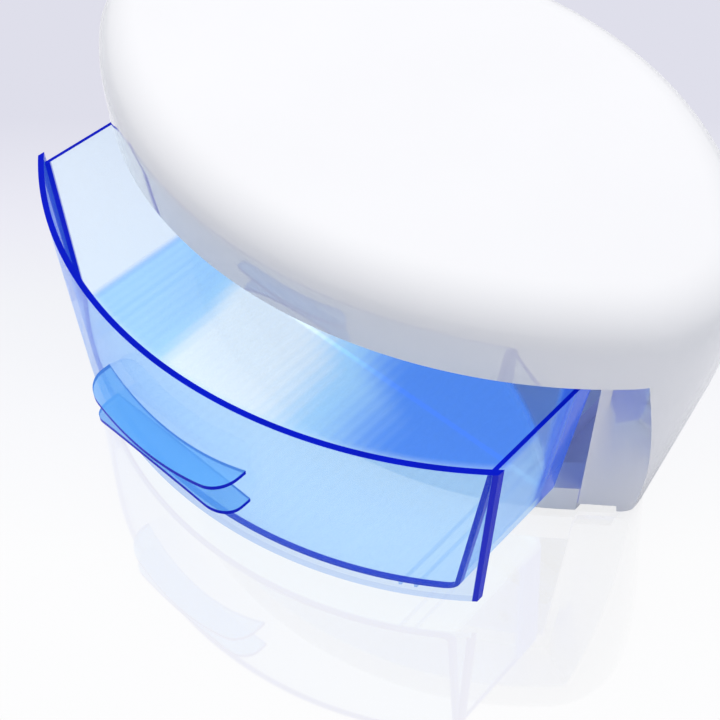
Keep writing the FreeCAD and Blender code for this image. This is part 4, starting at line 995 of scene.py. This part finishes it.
class STERILIZER_OT_fittings(Operator):
    """Finishes of the solids that are shown as they are"""
    bl_idname = "sterilizer.fittings"
    bl_label = "Fittings"

    def execute(self, context):
        base = context.scene.sterilizer_colours.base
        self.dress(moulded("base white", base, 0.14, 0.0001), ("base",))
        for finish, values, nodes in DRESSING:
            self.dress(finish(*values), nodes)
        return {"FINISHED"}

    def dress(self, material, nodes):
        """Gives a material to solids."""
        for node in nodes:
            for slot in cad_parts[node].material_slots:
                slot.material = material


class STERILIZER_OT_stage(Operator):
    """Camera, table, backdrop and soft lamps"""
    bl_idname = "sterilizer.stage"
    bl_label = "Stage"

    def execute(self, context):
        s = context.scene.sterilizer_stage
        colour = context.scene.sterilizer_colours.floor
        self.camera(context, s, context.scene.sterilizer_housing.plan_y)
        bm = bmesh.new()
        bmesh.ops.create_grid(bm, x_segments=4, y_segments=4, size=4.0)
        table = object_from(bm, "table_top")
        along_view = -(s.azimuth + math.pi / 2)
        table.data.materials.append(table_top("table gloss", colour, along_view))
        self.softbox("overhead softbox", (-0.10, 0.12, 1.8), 0.0, 1.6, s.key, KEY_COLOUR)
        self.softbox("left softbox", (-1.6, -0.5, 0.9), 0.0, 1.2, s.left)
        self.softbox("right softbox", (1.5, -0.4, 0.4), 0.1, 1.0, s.right)
        self.room(context, s)
        context.scene.view_settings.view_transform = "Standard"
        return {"FINISHED"}

    def camera(self, context, s, plan_y):
        """Camera at the photograph's viewing angle."""
        made = bpy.data.cameras.new("camera")
        made.lens = s.lens
        made.sensor_width = 36.0
        made.clip_start = 0.01
        made.clip_end = 20.0
        shown = bpy.data.objects.new("camera", made)
        context.scene.collection.objects.link(shown)
        tilt = Matrix.Rotation(math.pi / 2 - s.elevation, 4, "X")
        place = Matrix.Translation((s.camera_x, s.camera_y + plan_y, s.camera_z))
        shown.matrix_world = (place @ Matrix.Rotation(s.azimuth, 4, "Z") @ tilt
                              @ Matrix.Rotation(s.roll, 4, "Z"))
        context.scene.camera = shown

    def softbox(self, name, where, aim_x, size, power, colour=WHITE[:3]):
        """Square area lamp aimed at the part's middle, or beside it."""
        lamp = bpy.data.lights.new(name, "AREA")
        lamp.shape = "SQUARE"
        lamp.size = size
        lamp.energy = power
        lamp.color = colour
        shown = bpy.data.objects.new(name, lamp)
        bpy.context.scene.collection.objects.link(shown)
        shown.location = where
        shown.visible_glossy = False
        way = Vector((aim_x, 0.0, LAMP_AIM_Z)) - Vector(where)
        shown.rotation_euler = way.to_track_quat("-Z", "Y").to_euler()

    def room(self, context, s):
        """Pale room light; the camera and mirrors see the backdrop's colour."""
        world = bpy.data.worlds.new("room")
        context.scene.world = world
        world.use_nodes = True
        tree = world.node_tree
        tree.nodes.clear()
        light, seen = (tree.nodes.new("ShaderNodeBackground") for _ in range(2))
        light.inputs["Color"].default_value = ROOM_COLOUR
        light.inputs["Strength"].default_value = s.ambient
        seen.inputs["Color"].default_value = (*context.scene.sterilizer_colours.backdrop, 1.0)
        rays = tree.nodes.new("ShaderNodeLightPath")
        view = rays.outputs["Is Camera Ray"]
        for kind in ("Is Glossy Ray", "Is Transmission Ray"):
            either = tree.nodes.new("ShaderNodeMath")
            either.operation = "MAXIMUM"
            tree.links.new(view, either.inputs[0])
            tree.links.new(rays.outputs[kind], either.inputs[1])
            view = either.outputs[0]
        mixed = tree.nodes.new("ShaderNodeMixShader")
        for i, output in enumerate((view, light.outputs[0], seen.outputs[0])):
            tree.links.new(output, mixed.inputs[i])
        out = tree.nodes.new("ShaderNodeOutputWorld")
        tree.links.new(mixed.outputs[0], out.inputs["Surface"])


OPERATORS = (STERILIZER_OT_stage, STERILIZER_OT_housing, STERILIZER_OT_drawer_front,
             STERILIZER_OT_drawer_tray, STERILIZER_OT_fittings)


class STERILIZER_PT_pieces(Panel):
    """Sizes, colours and pieces of the sterilizer"""
    bl_idname = "STERILIZER_PT_pieces"
    bl_label = "UV sterilizer"
    bl_space_type = "VIEW_3D"
    bl_region_type = "UI"
    bl_category = "Sterilizer"

    def draw(self, context):
        layout = self.layout
        for operator in OPERATORS:
            layout.operator(operator.bl_idname)
        for name, group in GROUPS:
            values = getattr(context.scene, name)
            column = layout.column(align=True)
            for field in group.__annotations__:
                column.prop(values, field)


CLASSES = tuple(group for _, group in GROUPS) + OPERATORS + (STERILIZER_PT_pieces,)


def register():
    for cls in CLASSES:
        bpy.utils.register_class(cls)
    for name, group in GROUPS:
        setattr(bpy.types.Scene, name, PointerProperty(type=group))


def unregister():
    for name, _ in GROUPS:
        delattr(bpy.types.Scene, name)
    for cls in reversed(CLASSES):
        bpy.utils.unregister_class(cls)


def main():
    register()
    for operator in OPERATORS:
        family, action = operator.bl_idname.split(".")
        getattr(getattr(bpy.ops, family), action)()


if __name__ == "__main__":
    main()
